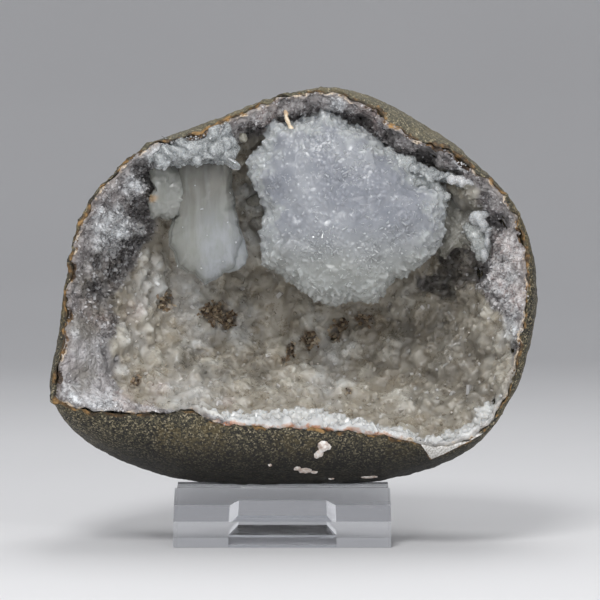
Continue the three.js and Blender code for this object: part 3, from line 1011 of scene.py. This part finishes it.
def sliver_finish(name, dark, pale):
    finish = Finish(name)
    cloud = finish.noise(1.5, detail=3)
    colour = finish.mottled(cloud, dark, pale)
    return finish.surface(colour, 0.4 + 0.2 * cloud, finish.bump(cloud, 0.15), milk=0.3, depth=1)


def floor_finish():
    finish = Finish("pale_floor")
    return finish.surface(finish.mix(finish.noise(400), (0.72, 0.72, 0.73), (0.76, 0.76, 0.77)), 0.7)


# ---- the stone

VIEW_POINT = CENTRE + Vector((0, -20 * MM, 0))  # in front of the cavity: what faces it can be seen


def faces_out(place, normal):
    return smooth_step(normal.dot((VIEW_POINT - place).normalized()), 0.0, 0.15)


def basalt_height(at, normal):
    return MM * (0.45 * craggy(at, 9, 4) + 0.12 * wavy(at, 1.3) - 0.45)


def basalt_marks(at, normal):
    return {"edge": RIM_LINE.find(at)[2] / MM, "notch": near(at, NOTCHES, 0.3)}


def basalt_shell():
    made = moved(rounded_copy("basalt_shell", math.radians(50)), frayed)
    made = marked(raised(made, basalt_height), basalt_marks)
    surface = BVHTree.FromBMesh(made)
    piece("basalt_rock", made, basalt_finish(), "basalt_shell")
    return surface


def pushed_to_rim(point):
    """Where a point of the lining goes, so that its edge meets the basalt's frayed rim."""
    place, _, edge = EVEN_RIM.find(point)
    outward = (place - CENTRE) * Vector((1, 0, 1))
    return frayed(point + outward.normalized() * 1.4 * MM * (1 - smooth_step(edge / MM, 1, 5)))


def druse_marks(at, normal):
    """What the lining's ground carries: its regions, and where and how large its crystals grow."""
    marks = regions(at)
    shown = faces_out(at, normal)
    margin, sill, edge = marks["margin"], marks["sill"], marks["edge"]
    coarse = shown * (1 - margin) * smooth_step(edge, 2.5, 5)
    crystalline = 0.3 + 0.7 * smooth_step(wavy(at, 9), -0.2, 0.2)
    marks["coarse"] = coarse * crystalline * (1 - marks["pocket"]) * (1 - sill)
    marks["bold"] = marks["coarse"] * (0.15 + 0.85 * marks["pale"])
    marks["fine"] = shown * margin * (0.45 + 0.5 * marks["white"]) * (1 - 0.8 * marks["smooth"])
    marks["girth"] = 0.55 + 0.45 * smooth_step(edge, 3, 20)
    marks["ledge"] = shown * sill * smooth_step(edge, 2, 3.5)
    marks["rust"] = marks["pocket"] * shown
    return marks


def druse_height(at, normal):
    region = regions(at)
    margin, edge, smooth = region["margin"], region["edge"], region["smooth"]
    wall = 4.4 * masses(at) + 0.6 * facets(at, 2.8 * MM) - 2.8 - 1.6 * region["pocket"]
    crust = (4.2 * crusts(at) + 0.5 * craggy(at, 1.6)) * (1 - 0.7 * smooth) - 2.5 + 1.6 * smooth
    crust += 1.8 * region["white"] - 2.4 * region["dark"]
    deep = faces_out(at, normal) * smooth_step(edge, 0.2, 3)
    front = 0.7 * craggy(at, 2.5) * (1 - smooth_step(edge, 2, 6))
    notch = 1.2 * region["notch"] * (1 - smooth_step(edge, 2, 5))
    return MM * (deep * (wall * (1 - margin) + crust * margin - 7 * region["hollow"]) + front - notch)


def druse_lining():
    made = moved(rounded_copy("druse_lining", math.radians(60)), pushed_to_rim)
    bare = mesh_of(marked(raised(made, druse_height), druse_marks), "bare_ground")
    large = small_shapes(
        "large_crystals",
        [(4.4, 3.8, 6.0, 0.2, 0.86), (3.8, 3.4, 6.4, -0.2, 0.86)],
        [(6, 4.4, 0.8, 6.0, 1.0, 0.88)],
    )
    middling = small_shapes(
        "middling_crystals",
        [(2.6, 2.2, 3.4, 0.2, 0.77), (2.2, 2.0, 3.6, -0.2, 0.77)],
        [(6, 2.4, 0.8, 3.4, 0.7, 0.8)],
    )
    grains = small_shapes(
        "grains",
        [(1.3, 1.0, 1.6, 0.2, 0.6), (1.0, 0.8, 1.7, -0.3, 0.6)],
        [(4, 1.3, 0.8, 1.5, 0.7, 0.6)],
    )
    glints = small_shapes(
        "glints",
        [(1.4, 1.1, 3.4, 0.2, 0.72), (1.9, 1.2, 3.2, -0.15, 0.72)],
        [(6, 1.6, 0.9, 3.4, 0.6, 0.74)],
    )
    ledge = small_shapes(
        "ledge_crystals",
        [(2.0, 1.7, 3.4, 0.3, 0.6), (1.7, 1.5, 3.8, -0.25, 0.6)],
        [(6, 1.9, 0.8, 3.6, 0.8, 0.6)],
    )
    crystals = [
        spread(bare, large, 4.2, "bold", (0.6, 1.2), 0.3, 3),
        spread(bare, middling, 2.1, "coarse", (0.6, 1.3), 0.35, 7),
    ]
    tone = tones_of(crystals)
    skin = grown([bare, *crystals], 0.58, 0.3, 0)
    skin = marked(skin, lambda at, normal: {**regions(at), "tone": tone(at)})
    surface = BVHTree.FromBMesh(skin)
    piece("druse_skin", skin, druse_finish(), "druse_lining", crisp=40)
    finish = grain_finish()
    crumbs = spread(bare, grains, 0.85, "fine", (0.4, 1.2), 0.7, 11)
    piece("margin_grains", crumbs, finish, crisp=0)
    points = spread(bare, glints, 2.6, "coarse", (0.4, 1.1), 0.6, 17)
    piece("wall_glints", points, finish, crisp=0)
    crystals = spread(bare, ledge, 1.2, "ledge", (0.8, 1.9), 0.7, 37)
    made = marked(grown([crystals], 0.32, 0.5), lambda at, normal: regions(at))
    piece("sill_crystals", made, sill_finish(), crisp=35)
    crumbs = spread(bare, grains, 0.8, "rust", (0.4, 1.1), 0.8, 41)
    piece("rusty_grains", crumbs, rust_finish(), crisp=0)
    return surface


# ---- the crystals

# Outlines are (x, z) corners on the front, in mm, in order round a middle.
CLUSTER_MIDDLE = (20, 35)
CLUSTER_OUTLINE = [
    (56.5, 39.5), (56, 35), (55.5, 28), (54.5, 22.5), (49.5, 16), (44.5, 12), (36.5, 8.5), (34.5, 5.5),
    (31, 0.5), (26, 0), (21, 0.5), (16.5, -1), (10.5, 0), (6, 2), (1.5, 5), (-2, 8), (-7.5, 11.5), (-11, 13),
    (-11.5, 17), (-11, 21), (-12, 25.5), (-10.5, 31), (-10, 34), (-12.5, 38.5), (-15.5, 43), (-17, 47.5),
    (-16, 52), (-13, 55), (-11.5, 57.5), (-9.5, 62), (-9.5, 65.5), (-6.5, 67), (-2.5, 65.5), (2, 67),
    (8.5, 68.5), (10, 71), (12.5, 70), (16, 68.5), (20, 65.5), (24.5, 64), (29, 61.5), (33, 57.5), (37.5, 55),
    (41, 51), (44, 48.5), (47, 43), (52, 42), (56, 41),
]
CLUSTER_RIM = closed([bearing(corner, CLUSTER_MIDDLE) for corner in CLUSTER_OUTLINE])
GLITTER = [
    (9.8, 59, 7), (22, 48.5, 6), (51, 33, 6), (37.6, 25, 8), (9.8, 22.8, 9), (14, 65, 4), (-8.7, 42, 4),
    (27, 17, 6),
]


def cluster_height(at, normal):
    return MM * (1.6 * facets(at, 10 * MM) + 0.5 * wavy(at, 13) + 0.8 * facets(at, 4.5 * MM) - 0.7)


def rind(point):
    """How far out a point is towards the cluster's outline on the front: 0 well within it, and 1 on it."""
    angle, far = bearing(front_view(point), CLUSTER_MIDDLE)
    waver = 0.12 * wavy(point, 5) + 0.08 * wavy(point, 2)
    return smooth_step(far / along(CLUSTER_RIM, angle) + waver, 0.78, 0.92)


def cluster_marks(at, normal):
    """Crystals stand out more round the cluster's edge, where the skin turns away from the front."""
    outer = rind(at)
    turned = max(smooth_step(1 + normal.y, 0.35, 0.9), 0.75 * outer)
    rough = smooth_step(wavy(at, 8), -0.2, 0.4)
    return {
        "all": (1 - smooth_step(normal.y, 0.5, 0.9)) * max(turned, 0.4 + 0.5 * rough),
        "girth": 0.33 + 0.1 * rough + 0.5 * turned,
        "glitter": max(near(at, GLITTER, 0.1), 0.06 + 0.15 * turned),
        "rind": outer,
    }


def goosecreekite_cluster():
    made = fitted(melted_copy("goosecreekite_cluster", 0.9, 6), CLUSTER_MIDDLE, CLUSTER_OUTLINE)
    bare = mesh_of(marked(raised(made, cluster_height), cluster_marks), "bare_cluster")
    blades = small_shapes(
        "blades",
        [(4.2, 1.4, 4.6, 0.35, 0.75), (3.2, 1.6, 4.6, -0.3, 0.75), (5.0, 1.5, 4.2, 0.2, 0.75)],
        [(6, 2.8, 0.6, 4.6, 1.2, 0.75)],
    )
    crystals = spread(bare, blades, 1.6, "all", (0.6, 1.2), 0.8, 21)
    skin = marked(grown([bare, crystals], 0.45, 0.65, 0), lambda at, normal: {"rind": rind(at)})
    piece("cluster", skin, cluster_finish(), "goosecreekite_cluster", crisp=45)
    glints = small_shapes(
        "cluster_glints",
        [(1.5, 0.3, 3.0, 0.2, 0.84), (0.6, 0.5, 3.0, -0.15, 0.84), (1.0, 0.25, 3.0, 0.5, 0.86)],
    )
    for vertex in bare.attributes["girth"].data:
        vertex.value = 1.0
    sparks = spread(bare, glints, 1.2, "glitter", (0.4, 1.3), 0.7, 27)
    piece("cluster_glints", sparks, glint_finish(), crisp=0)


SHEAF_MIDDLE = (-32, 32)
SHEAF_TOP = 50
SHEAF_FEET = 22  # the scallops are below this height
SHEAF_OUTLINE = [
    (-43.5, 53), (-43.5, 42), (-44, 31.5), (-46, 29), (-47, 22.5), (-45, 17.5), (-43.5, 12), (-37.5, 9),
    (-32.5, 5.5), (-29, 7.5), (-26, 9.5), (-21.5, 11), (-17.5, 13.5), (-16.5, 16), (-17.5, 20.5), (-18, 23.5),
    (-20, 28), (-21.5, 34), (-23, 42), (-23.5, 53), (-33, 56),
]
SHEAF_FRONT = [
    (-43, 53), (-43, 42), (-43.5, 31.5), (-45, 28), (-46, 22.5), (-44, 17), (-42, 12.5), (-37, 9.5),
    (-32.5, 6.5), (-29, 8), (-26, 10), (-22.5, 12), (-21, 16.5), (-19.5, 20.5), (-18.5, 23.5), (-20.5, 28),
    (-22, 34), (-23.5, 42), (-24, 53), (-33, 56),
]


def sheaf_ribs(at, normal):
    """Long flat faces that run down the sheaf, and a lower edge that breaks into small scallops."""
    across, up = front_view(at)
    fan = (across - SHEAF_MIDDLE[0]) / (1 + 0.012 * (SHEAF_TOP - up))
    planes = facets(Vector((fan, 0.5, 0.08 * up)), 4.4) + 0.2 * facets(Vector((fan, 9.5, 0.12 * up)), 1.5)
    return MM * (0.8 * planes + 0.45 * facets(at, 2.6 * MM) * smooth_step(SHEAF_FEET - up, 0, 10) - 0.3)


def sheaf_crystal():
    parts = []
    for outline, thickness, back in ((SHEAF_OUTLINE, 0.4, 1.5 * MM), (SHEAF_FRONT, 0.6, -0.5 * MM)):
        made = fitted(melted_copy("sheaf_crystal", 0.55, 3), SHEAF_MIDDLE, outline, 0.7)
        middle = sum(vertex.co.y for vertex in made.verts) / len(made.verts)
        flatter = Matrix.Translation((0, middle + back, 0)) @ Matrix.Diagonal((1, thickness, 1, 1))
        bmesh.ops.transform(made, matrix=flatter @ Matrix.Translation((0, -middle, 0)), verts=made.verts)
        parts.append(mesh_of(raised(made, sheaf_ribs)))
    made = grown(parts, 0.4, 0.8, 0)
    made = marked(made, lambda at, normal: {"stain": 0.0, "all": faces_out(at, normal), "girth": 1.0})
    finish = sheaf_finish("translucent_sheaf", 18, -37)
    sheaf = piece("sheaf", made, finish, "sheaf_crystal", crisp=35)
    glints = small_shapes("sheaf_glints", [(0.5, 0.5, 2.4, 0.1, 0.88), (0.9, 0.4, 2.4, 0.1, 0.9)])
    sparks = spread(sheaf.data, glints, 8, "all", (0.6, 1.2), 0.5, 57)
    piece("sheaf_glints", sparks, glint_finish(), crisp=0)


SIDE_MIDDLE = (-48, 37)
SIDE_OUTLINE = [
    (-39.5, 50), (-48, 51), (-53, 50), (-54, 46), (-52.5, 43.5), (-51.8, 42), (-52.5, 40), (-54, 37),
    (-53.5, 33), (-52.5, 30), (-50, 31.2), (-47, 30), (-44, 30.5), (-39, 34), (-38, 42),
]


def side_blade():
    made = fitted(melted_copy("side_blade", 0.45, 3), SIDE_MIDDLE, SIDE_OUTLINE, 0.3)
    made = raised(made, lambda at, normal: MM * (1.1 * facets(at, 4 * MM) + 0.5 * facets(at, 1.8 * MM) - 0.2))
    made = marked(made, lambda at, normal: {"stain": near(at, [(-52.5, 38.2, 2.2)], 0.2)})
    finish = sheaf_finish("ragged_blade", 40, -30)
    piece("ragged_blade", made, finish, "side_blade", crisp=40)


CRUST_MIDDLE = (-36, 55)
CRUST_OUTLINE = [
    (-54, 55), (-51.5, 58), (-48, 60.5), (-44, 61), (-40, 60), (-37, 59), (-35.5, 58.6), (-33.5, 61),
    (-30.5, 64), (-26.5, 66.5), (-23.5, 65), (-21.5, 60), (-20.5, 56), (-21.5, 53), (-23, 51), (-25.5, 50),
    (-29, 51.5), (-33, 50.5), (-36.5, 49.5), (-40.5, 50), (-43, 49), (-46, 50), (-49.5, 49), (-52.5, 50),
    (-54, 52.5),
]


def crust_height(at, normal):
    return MM * (2.2 * lumps(at, 6.2) + 0.5 * facets(at, 2 * MM) - 1.3)


def crust_marks(at, normal):
    patchy = smooth_step(wavy(at, 4), -0.1, 0.3)
    return {"all": 0.4 * faces_out(at, normal) * patchy, "girth": 1.0}


def sugared(name, made, node, *colours):
    """Makes a bmesh a piece that is partly covered with sugary grains."""
    finish = crust_finish(name, *colours)
    ground = piece(name, marked(made, crust_marks), finish, node, crisp=35)
    grains = small_shapes(
        name + "_grains",
        [(1.3, 1.0, 1.8, 0.2, 0.6), (1.8, 0.7, 2.0, 0.2, 0.6)],
        [(5, 1.0, 1, 1.8, 0.5, 0.6)],
    )
    crumbs = spread(ground.data, grains, 1.1, "all", (0.4, 1.2), 0.7, 31)
    piece(name + "_sugar", crumbs, finish, crisp=0)


def ceiling_lobes():
    made = fitted(melted_copy("ceiling_crust", 0.6, 3), CRUST_MIDDLE, CRUST_OUTLINE)
    sugared("ceiling_lobes", raised(made, crust_height), "ceiling_crust")


def north_lumps():
    sugared("north_lumps", raised(melted_copy("north_knobs", 0.6, 3), crust_height), "north_knobs")


EAST_MIDDLE = (62, 27)
EAST_OUTLINE = [
    (54, 38.5), (58.5, 41), (63.5, 40.5), (68, 37.5), (71.5, 32.5), (72.5, 24.5), (72, 17), (69.5, 14.5),
    (67, 18), (63.5, 20.5), (59.5, 19), (55.5, 14.5), (53, 17), (54, 24.5), (53, 32),
]


def east_lumps():
    """Pale see-through druse between the cluster and the white knob on the right."""
    made = fitted(melted_copy("east_knobs", 0.6, 4), EAST_MIDDLE, EAST_OUTLINE)
    made = raised(made, lambda at, normal: MM * (1.6 * lumps(at, 5) + 0.9 * facets(at, 2.2 * MM) - 1.6))
    piece("east_lumps", made, pale_lump_finish(), "east_knobs", crisp=35)


def small_prism():
    made = cad_copy("small_prism")
    rounding = {"offset": 0.35 * MM, "affect": "EDGES", "segments": 1, "profile": 0.5}
    bmesh.ops.bevel(made, geom=made.edges, material=-1, clamp_overlap=True, **rounding)
    piece("clear_prism", made, clear_crystal_finish(), "small_prism")


# ---- small things on the surfaces


def sight(spot):
    """The way from the eye to a place on the front."""
    across, up = spot[0] * MM + CENTRE.x - TARGET.x, spot[1] * MM + CENTRE.z - TARGET.z
    return (TARGET + Vector((across, 0, 0)) + UPWARD * up - EYE).normalized()


def seen(surface, spot):
    """Where the line of sight through a place on the front meets a surface, and the normal there."""
    place, normal, _, _ = surface.ray_cast(EYE, sight(spot))
    return place, normal


def sunk_in(spot, depth):
    """The point that shows at a place on the front, and lies depth behind it."""
    way = sight(spot)
    return EYE + way * ((SHELL_LOW.y + depth - EYE.y) / way.y)


def blob(place, normal, size, turn=0.0, rough=0.12):
    """A ragged round lump on a surface, size (x, y, z) in mm with z outwards, as a mesh."""
    made = bmesh.new()
    bmesh.ops.create_icosphere(made, subdivisions=4, radius=0.5)
    upright = Matrix.Translation(place) @ normal.to_track_quat("Z", "Y").to_matrix().to_4x4()
    scale = Matrix.Diagonal((*(Vector(size) * MM), 1))
    bmesh.ops.transform(made, matrix=upright @ Matrix.Rotation(turn, 4, "Z") @ scale, verts=made.verts)
    least = min(size) * MM
    return mesh_of(
        raised(made, lambda at, normal: least * rough * noise.fractal(at / (0.7 * least), 0.6, 2, 3))
    )


# Each is (x, z) on the front, its size (x, y, z) and its turn.
AMYGDALES = [
    ((10.8, -53.6), (4.2, 4.4, 2.2), 0.3),
    ((9.4, -56.2), (2.6, 5.4, 2), -0.6),
    ((12.6, -54), (2, 2.4, 1.6), 0),
    ((4, -62.6), (5, 3.4, 1.4), 0.2),
    ((1.2, -61.8), (2.6, 2.4, 1.2), 0),
    ((7.4, -63.2), (3, 1.8, 1), 0.3),
    ((27.8, -65), (6.4, 2.2, 1.2), 0.1),
    ((13.7, -65.6), (2.4, 1.8, 1), 0),
    ((-8.9, -60.6), (1.5, 1.4, 1), 0),
]


def amygdales():
    """White and pinkish fillings of old gas bubbles, on the basalt's front."""
    parts = [blob(*seen(ROCK_SURFACE, spot), size, turn, 0.2) for spot, size, turn in AMYGDALES]
    piece("amygdales", grown(parts, 0.22), amygdale_finish(), crisp=40)


def tan_sliver():
    """A thin curved sliver that lies across the top of the cavity."""
    bends = (((-3, 69.6), 4, 0.1), ((-2.4, 66.6), 4.4, 0.35), ((-1, 63.8), 4, 0.6))
    depth = min(seen(DRUSE_SURFACE, spot)[0].y for spot, _, _ in bends) - SHELL_LOW.y
    parts = [blob(sunk_in(spot, depth), -AHEAD, (1.7, far, 1.6), turn, 0.1) for spot, far, turn in bends]
    finish = sliver_finish("tan_sliver", (0.6, 0.44, 0.28), (0.86, 0.76, 0.6))
    piece("tan_sliver", grown(parts, 0.2, passes=2), finish)


def small_lumps():
    """A cream knob and a rounded pale crystal on the wall, each side of the gap between the crystals."""
    place, _ = seen(DRUSE_SURFACE, (-19, 60.4))
    knob = grown([blob(place - 2 * MM * AHEAD, -AHEAD, (3.2, 3.8, 4), 0.4, 0.2)], 0.25)
    finish = sliver_finish("cream_knob", (0.5, 0.47, 0.38), (0.8, 0.78, 0.7))
    piece("cream_knob", knob, finish)
    place, _ = seen(DRUSE_SURFACE, (-14.6, 37.4))
    crystal = grown([blob(place - MM * AHEAD, -AHEAD, (6.4, 5.2, 5), 0.3, 0.1)], 0.25)
    piece("pale_lump", crystal, pale_lump_finish(), crisp=40)


# Each is (x, z) on the front and its size (x, y, z).
EAST_KNOB = [
    ((67.6, 30.8), (5.6, 5, 4.5)),
    ((70.4, 32), (3.6, 2.8, 3)),
    ((70, 28), (4, 4.6, 4)),
    ((71.8, 25), (2.6, 3.6, 3.4)),
    ((71.4, 21.6), (2.4, 4, 3)),
    ((70.4, 17), (3, 4.6, 3.6)),
]
EAST_BODY = [
    ((67.4, 24.6), (7, 8, 5)),
    ((69, 21), (7.4, 8, 5)),
    ((69.6, 17.6), (5, 6, 4)),
    ((64.6, 26.4), (4, 5, 4)),
]


def east_knob():
    """A growth on the right: white sugary crystals over and beside a greyer body."""
    for name, growths, depth, dark, pale in (
        ("east_knob", EAST_KNOB, 22 * MM, (0.52, 0.53, 0.54), (0.72, 0.74, 0.75)),
        ("east_body", EAST_BODY, 24 * MM, (0.36, 0.37, 0.36), (0.5, 0.52, 0.51)),
    ):
        parts = [blob(sunk_in(spot, depth), -AHEAD, size, 0, 0.15) for spot, size in growths]
        made = raised(grown(parts, 0.4), lambda at, normal: 0.6 * MM * facets(at, 2.2 * MM))
        sugared(name, made, None, dark, pale)


# Each is (x, z) on the front and its width.
FRINGE = [
    ((35, 54.5), 5), ((38.5, 51.5), 6), ((42.5, 50), 6.5), ((46.5, 48), 6.5), ((50, 46), 6),
    ((47.5, 44.5), 6), ((51.5, 43), 5), ((43.5, 46.5), 6), ((39.5, 48.5), 6), ((53.5, 41), 4),
    ((55.5, 38.5), 4),
]
CHIPS = [((58.5, 44.8), (4, 3.4, 4)), ((62, 44.3), (5, 3.8, 4)), ((65, 44.2), (3, 3, 3))]


def cluster_fringe():
    """Rounded see-through crystals along the cluster's upper right edge, and a white chip beyond them."""
    parts = [blob(sunk_in(spot, 20 * MM), -AHEAD, (width, width, 6), 0, 0.2) for spot, width in FRINGE]
    made = raised(grown(parts, 0.4), lambda at, normal: 0.7 * MM * facets(at, 2.2 * MM))
    sugared("cluster_fringe", made, None, (0.52, 0.54, 0.54), (0.7, 0.73, 0.73))
    parts = [blob(sunk_in(spot, 15 * MM), -AHEAD, size, 0, 0.25) for spot, size in CHIPS]
    finish = crust_finish("white_chip", (0.6, 0.6, 0.61), (0.86, 0.86, 0.87))
    piece("white_chip", grown(parts, 0.3), finish, crisp=40)


# ---- the cradle


def acrylic_cradle():
    cradle = frame["nodes"]["acrylic_cradle"]
    cradle.data.materials.clear()
    cradle.data.materials.append(acrylic_finish())
    edges = cradle.modifiers.new("polished_edges", "BEVEL")
    edges.width = 0.3 * MM
    edges.segments = 2
    edges.limit_method = "ANGLE"


ROCK_SURFACE = basalt_shell()
DRUSE_SURFACE = druse_lining()
goosecreekite_cluster()
sheaf_crystal()
side_blade()
ceiling_lobes()
north_lumps()
east_lumps()
east_knob()
cluster_fringe()
small_prism()
amygdales()
tan_sliver()
small_lumps()
acrylic_cradle()


# ---- the studio


def backdrop():
    """A round pale floor that curves up into a wall all round."""
    made = bmesh.new()
    profile = [(0.0, 0.0), (1.6, 0.0), (2.2, 0.08), (2.7, 0.35), (3.0, 0.85), (3.1, 1.6), (3.1, 2.4)]
    corners = [made.verts.new((radius, 0, height)) for radius, height in profile]
    edges = [made.edges.new(pair) for pair in zip(corners, corners[1:])]
    turn = {"cent": (0, 0, 0), "axis": (0, 0, 1), "angle": math.tau, "steps": 64, "use_merge": True}
    bmesh.ops.spin(made, geom=corners + edges, **turn)
    bmesh.ops.remove_doubles(made, verts=made.verts, dist=0.01 * MM)
    bmesh.ops.recalc_face_normals(made, faces=made.faces)
    mesh = mesh_of(made, "studio_floor")
    mesh.polygons.foreach_set("use_smooth", [True] * len(mesh.polygons))
    mesh.materials.append(floor_finish())
    mesh.transform(Matrix.Translation((0, 0, -0.1 * MM)))  # just below the cradle, so light gets between
    shape_of(mesh, "studio_floor")


def aimed(made, place):
    made.location = place
    made.rotation_euler = (TARGET - Vector(place)).to_track_quat("-Z", "Y").to_euler()
    bpy.context.scene.collection.objects.link(made)
    return made


def softbox(name, place, size, power):
    light = bpy.data.lights.new(name, "AREA")
    light.shape = "SQUARE"
    light.size = size
    light.energy = power
    aimed(bpy.data.objects.new(name, light), place)


def studio():
    backdrop()
    softbox("key", (-0.2, -0.9, 0.95), 0.35, 8.2)
    softbox("fill", (0.9, -0.9, 0.45), 0.8, 2.5)
    softbox("top", (0.1, 0.3, 1.2), 0.6, 4)
    softbox("spark_left", (-0.3, -1.0, 0.42), 0.12, 1.2)
    softbox("spark_right", (0.3, -1.0, 0.55), 0.12, 1.2)
    world = bpy.data.worlds.new("studio")
    world.use_nodes = True
    world.node_tree.nodes["Background"].inputs["Color"].default_value = (0.94, 0.95, 0.98, 1)
    world.node_tree.nodes["Background"].inputs["Strength"].default_value = 0.45
    bpy.context.scene.world = world
    bpy.context.scene.view_settings.view_transform = "Standard"


def camera():
    lens = bpy.data.cameras.new("camera")
    lens.sensor_width = 36
    lens.lens = 146
    lens.clip_end = 20
    bpy.context.scene.camera = aimed(bpy.data.objects.new("camera", lens), EYE)


studio()
camera()
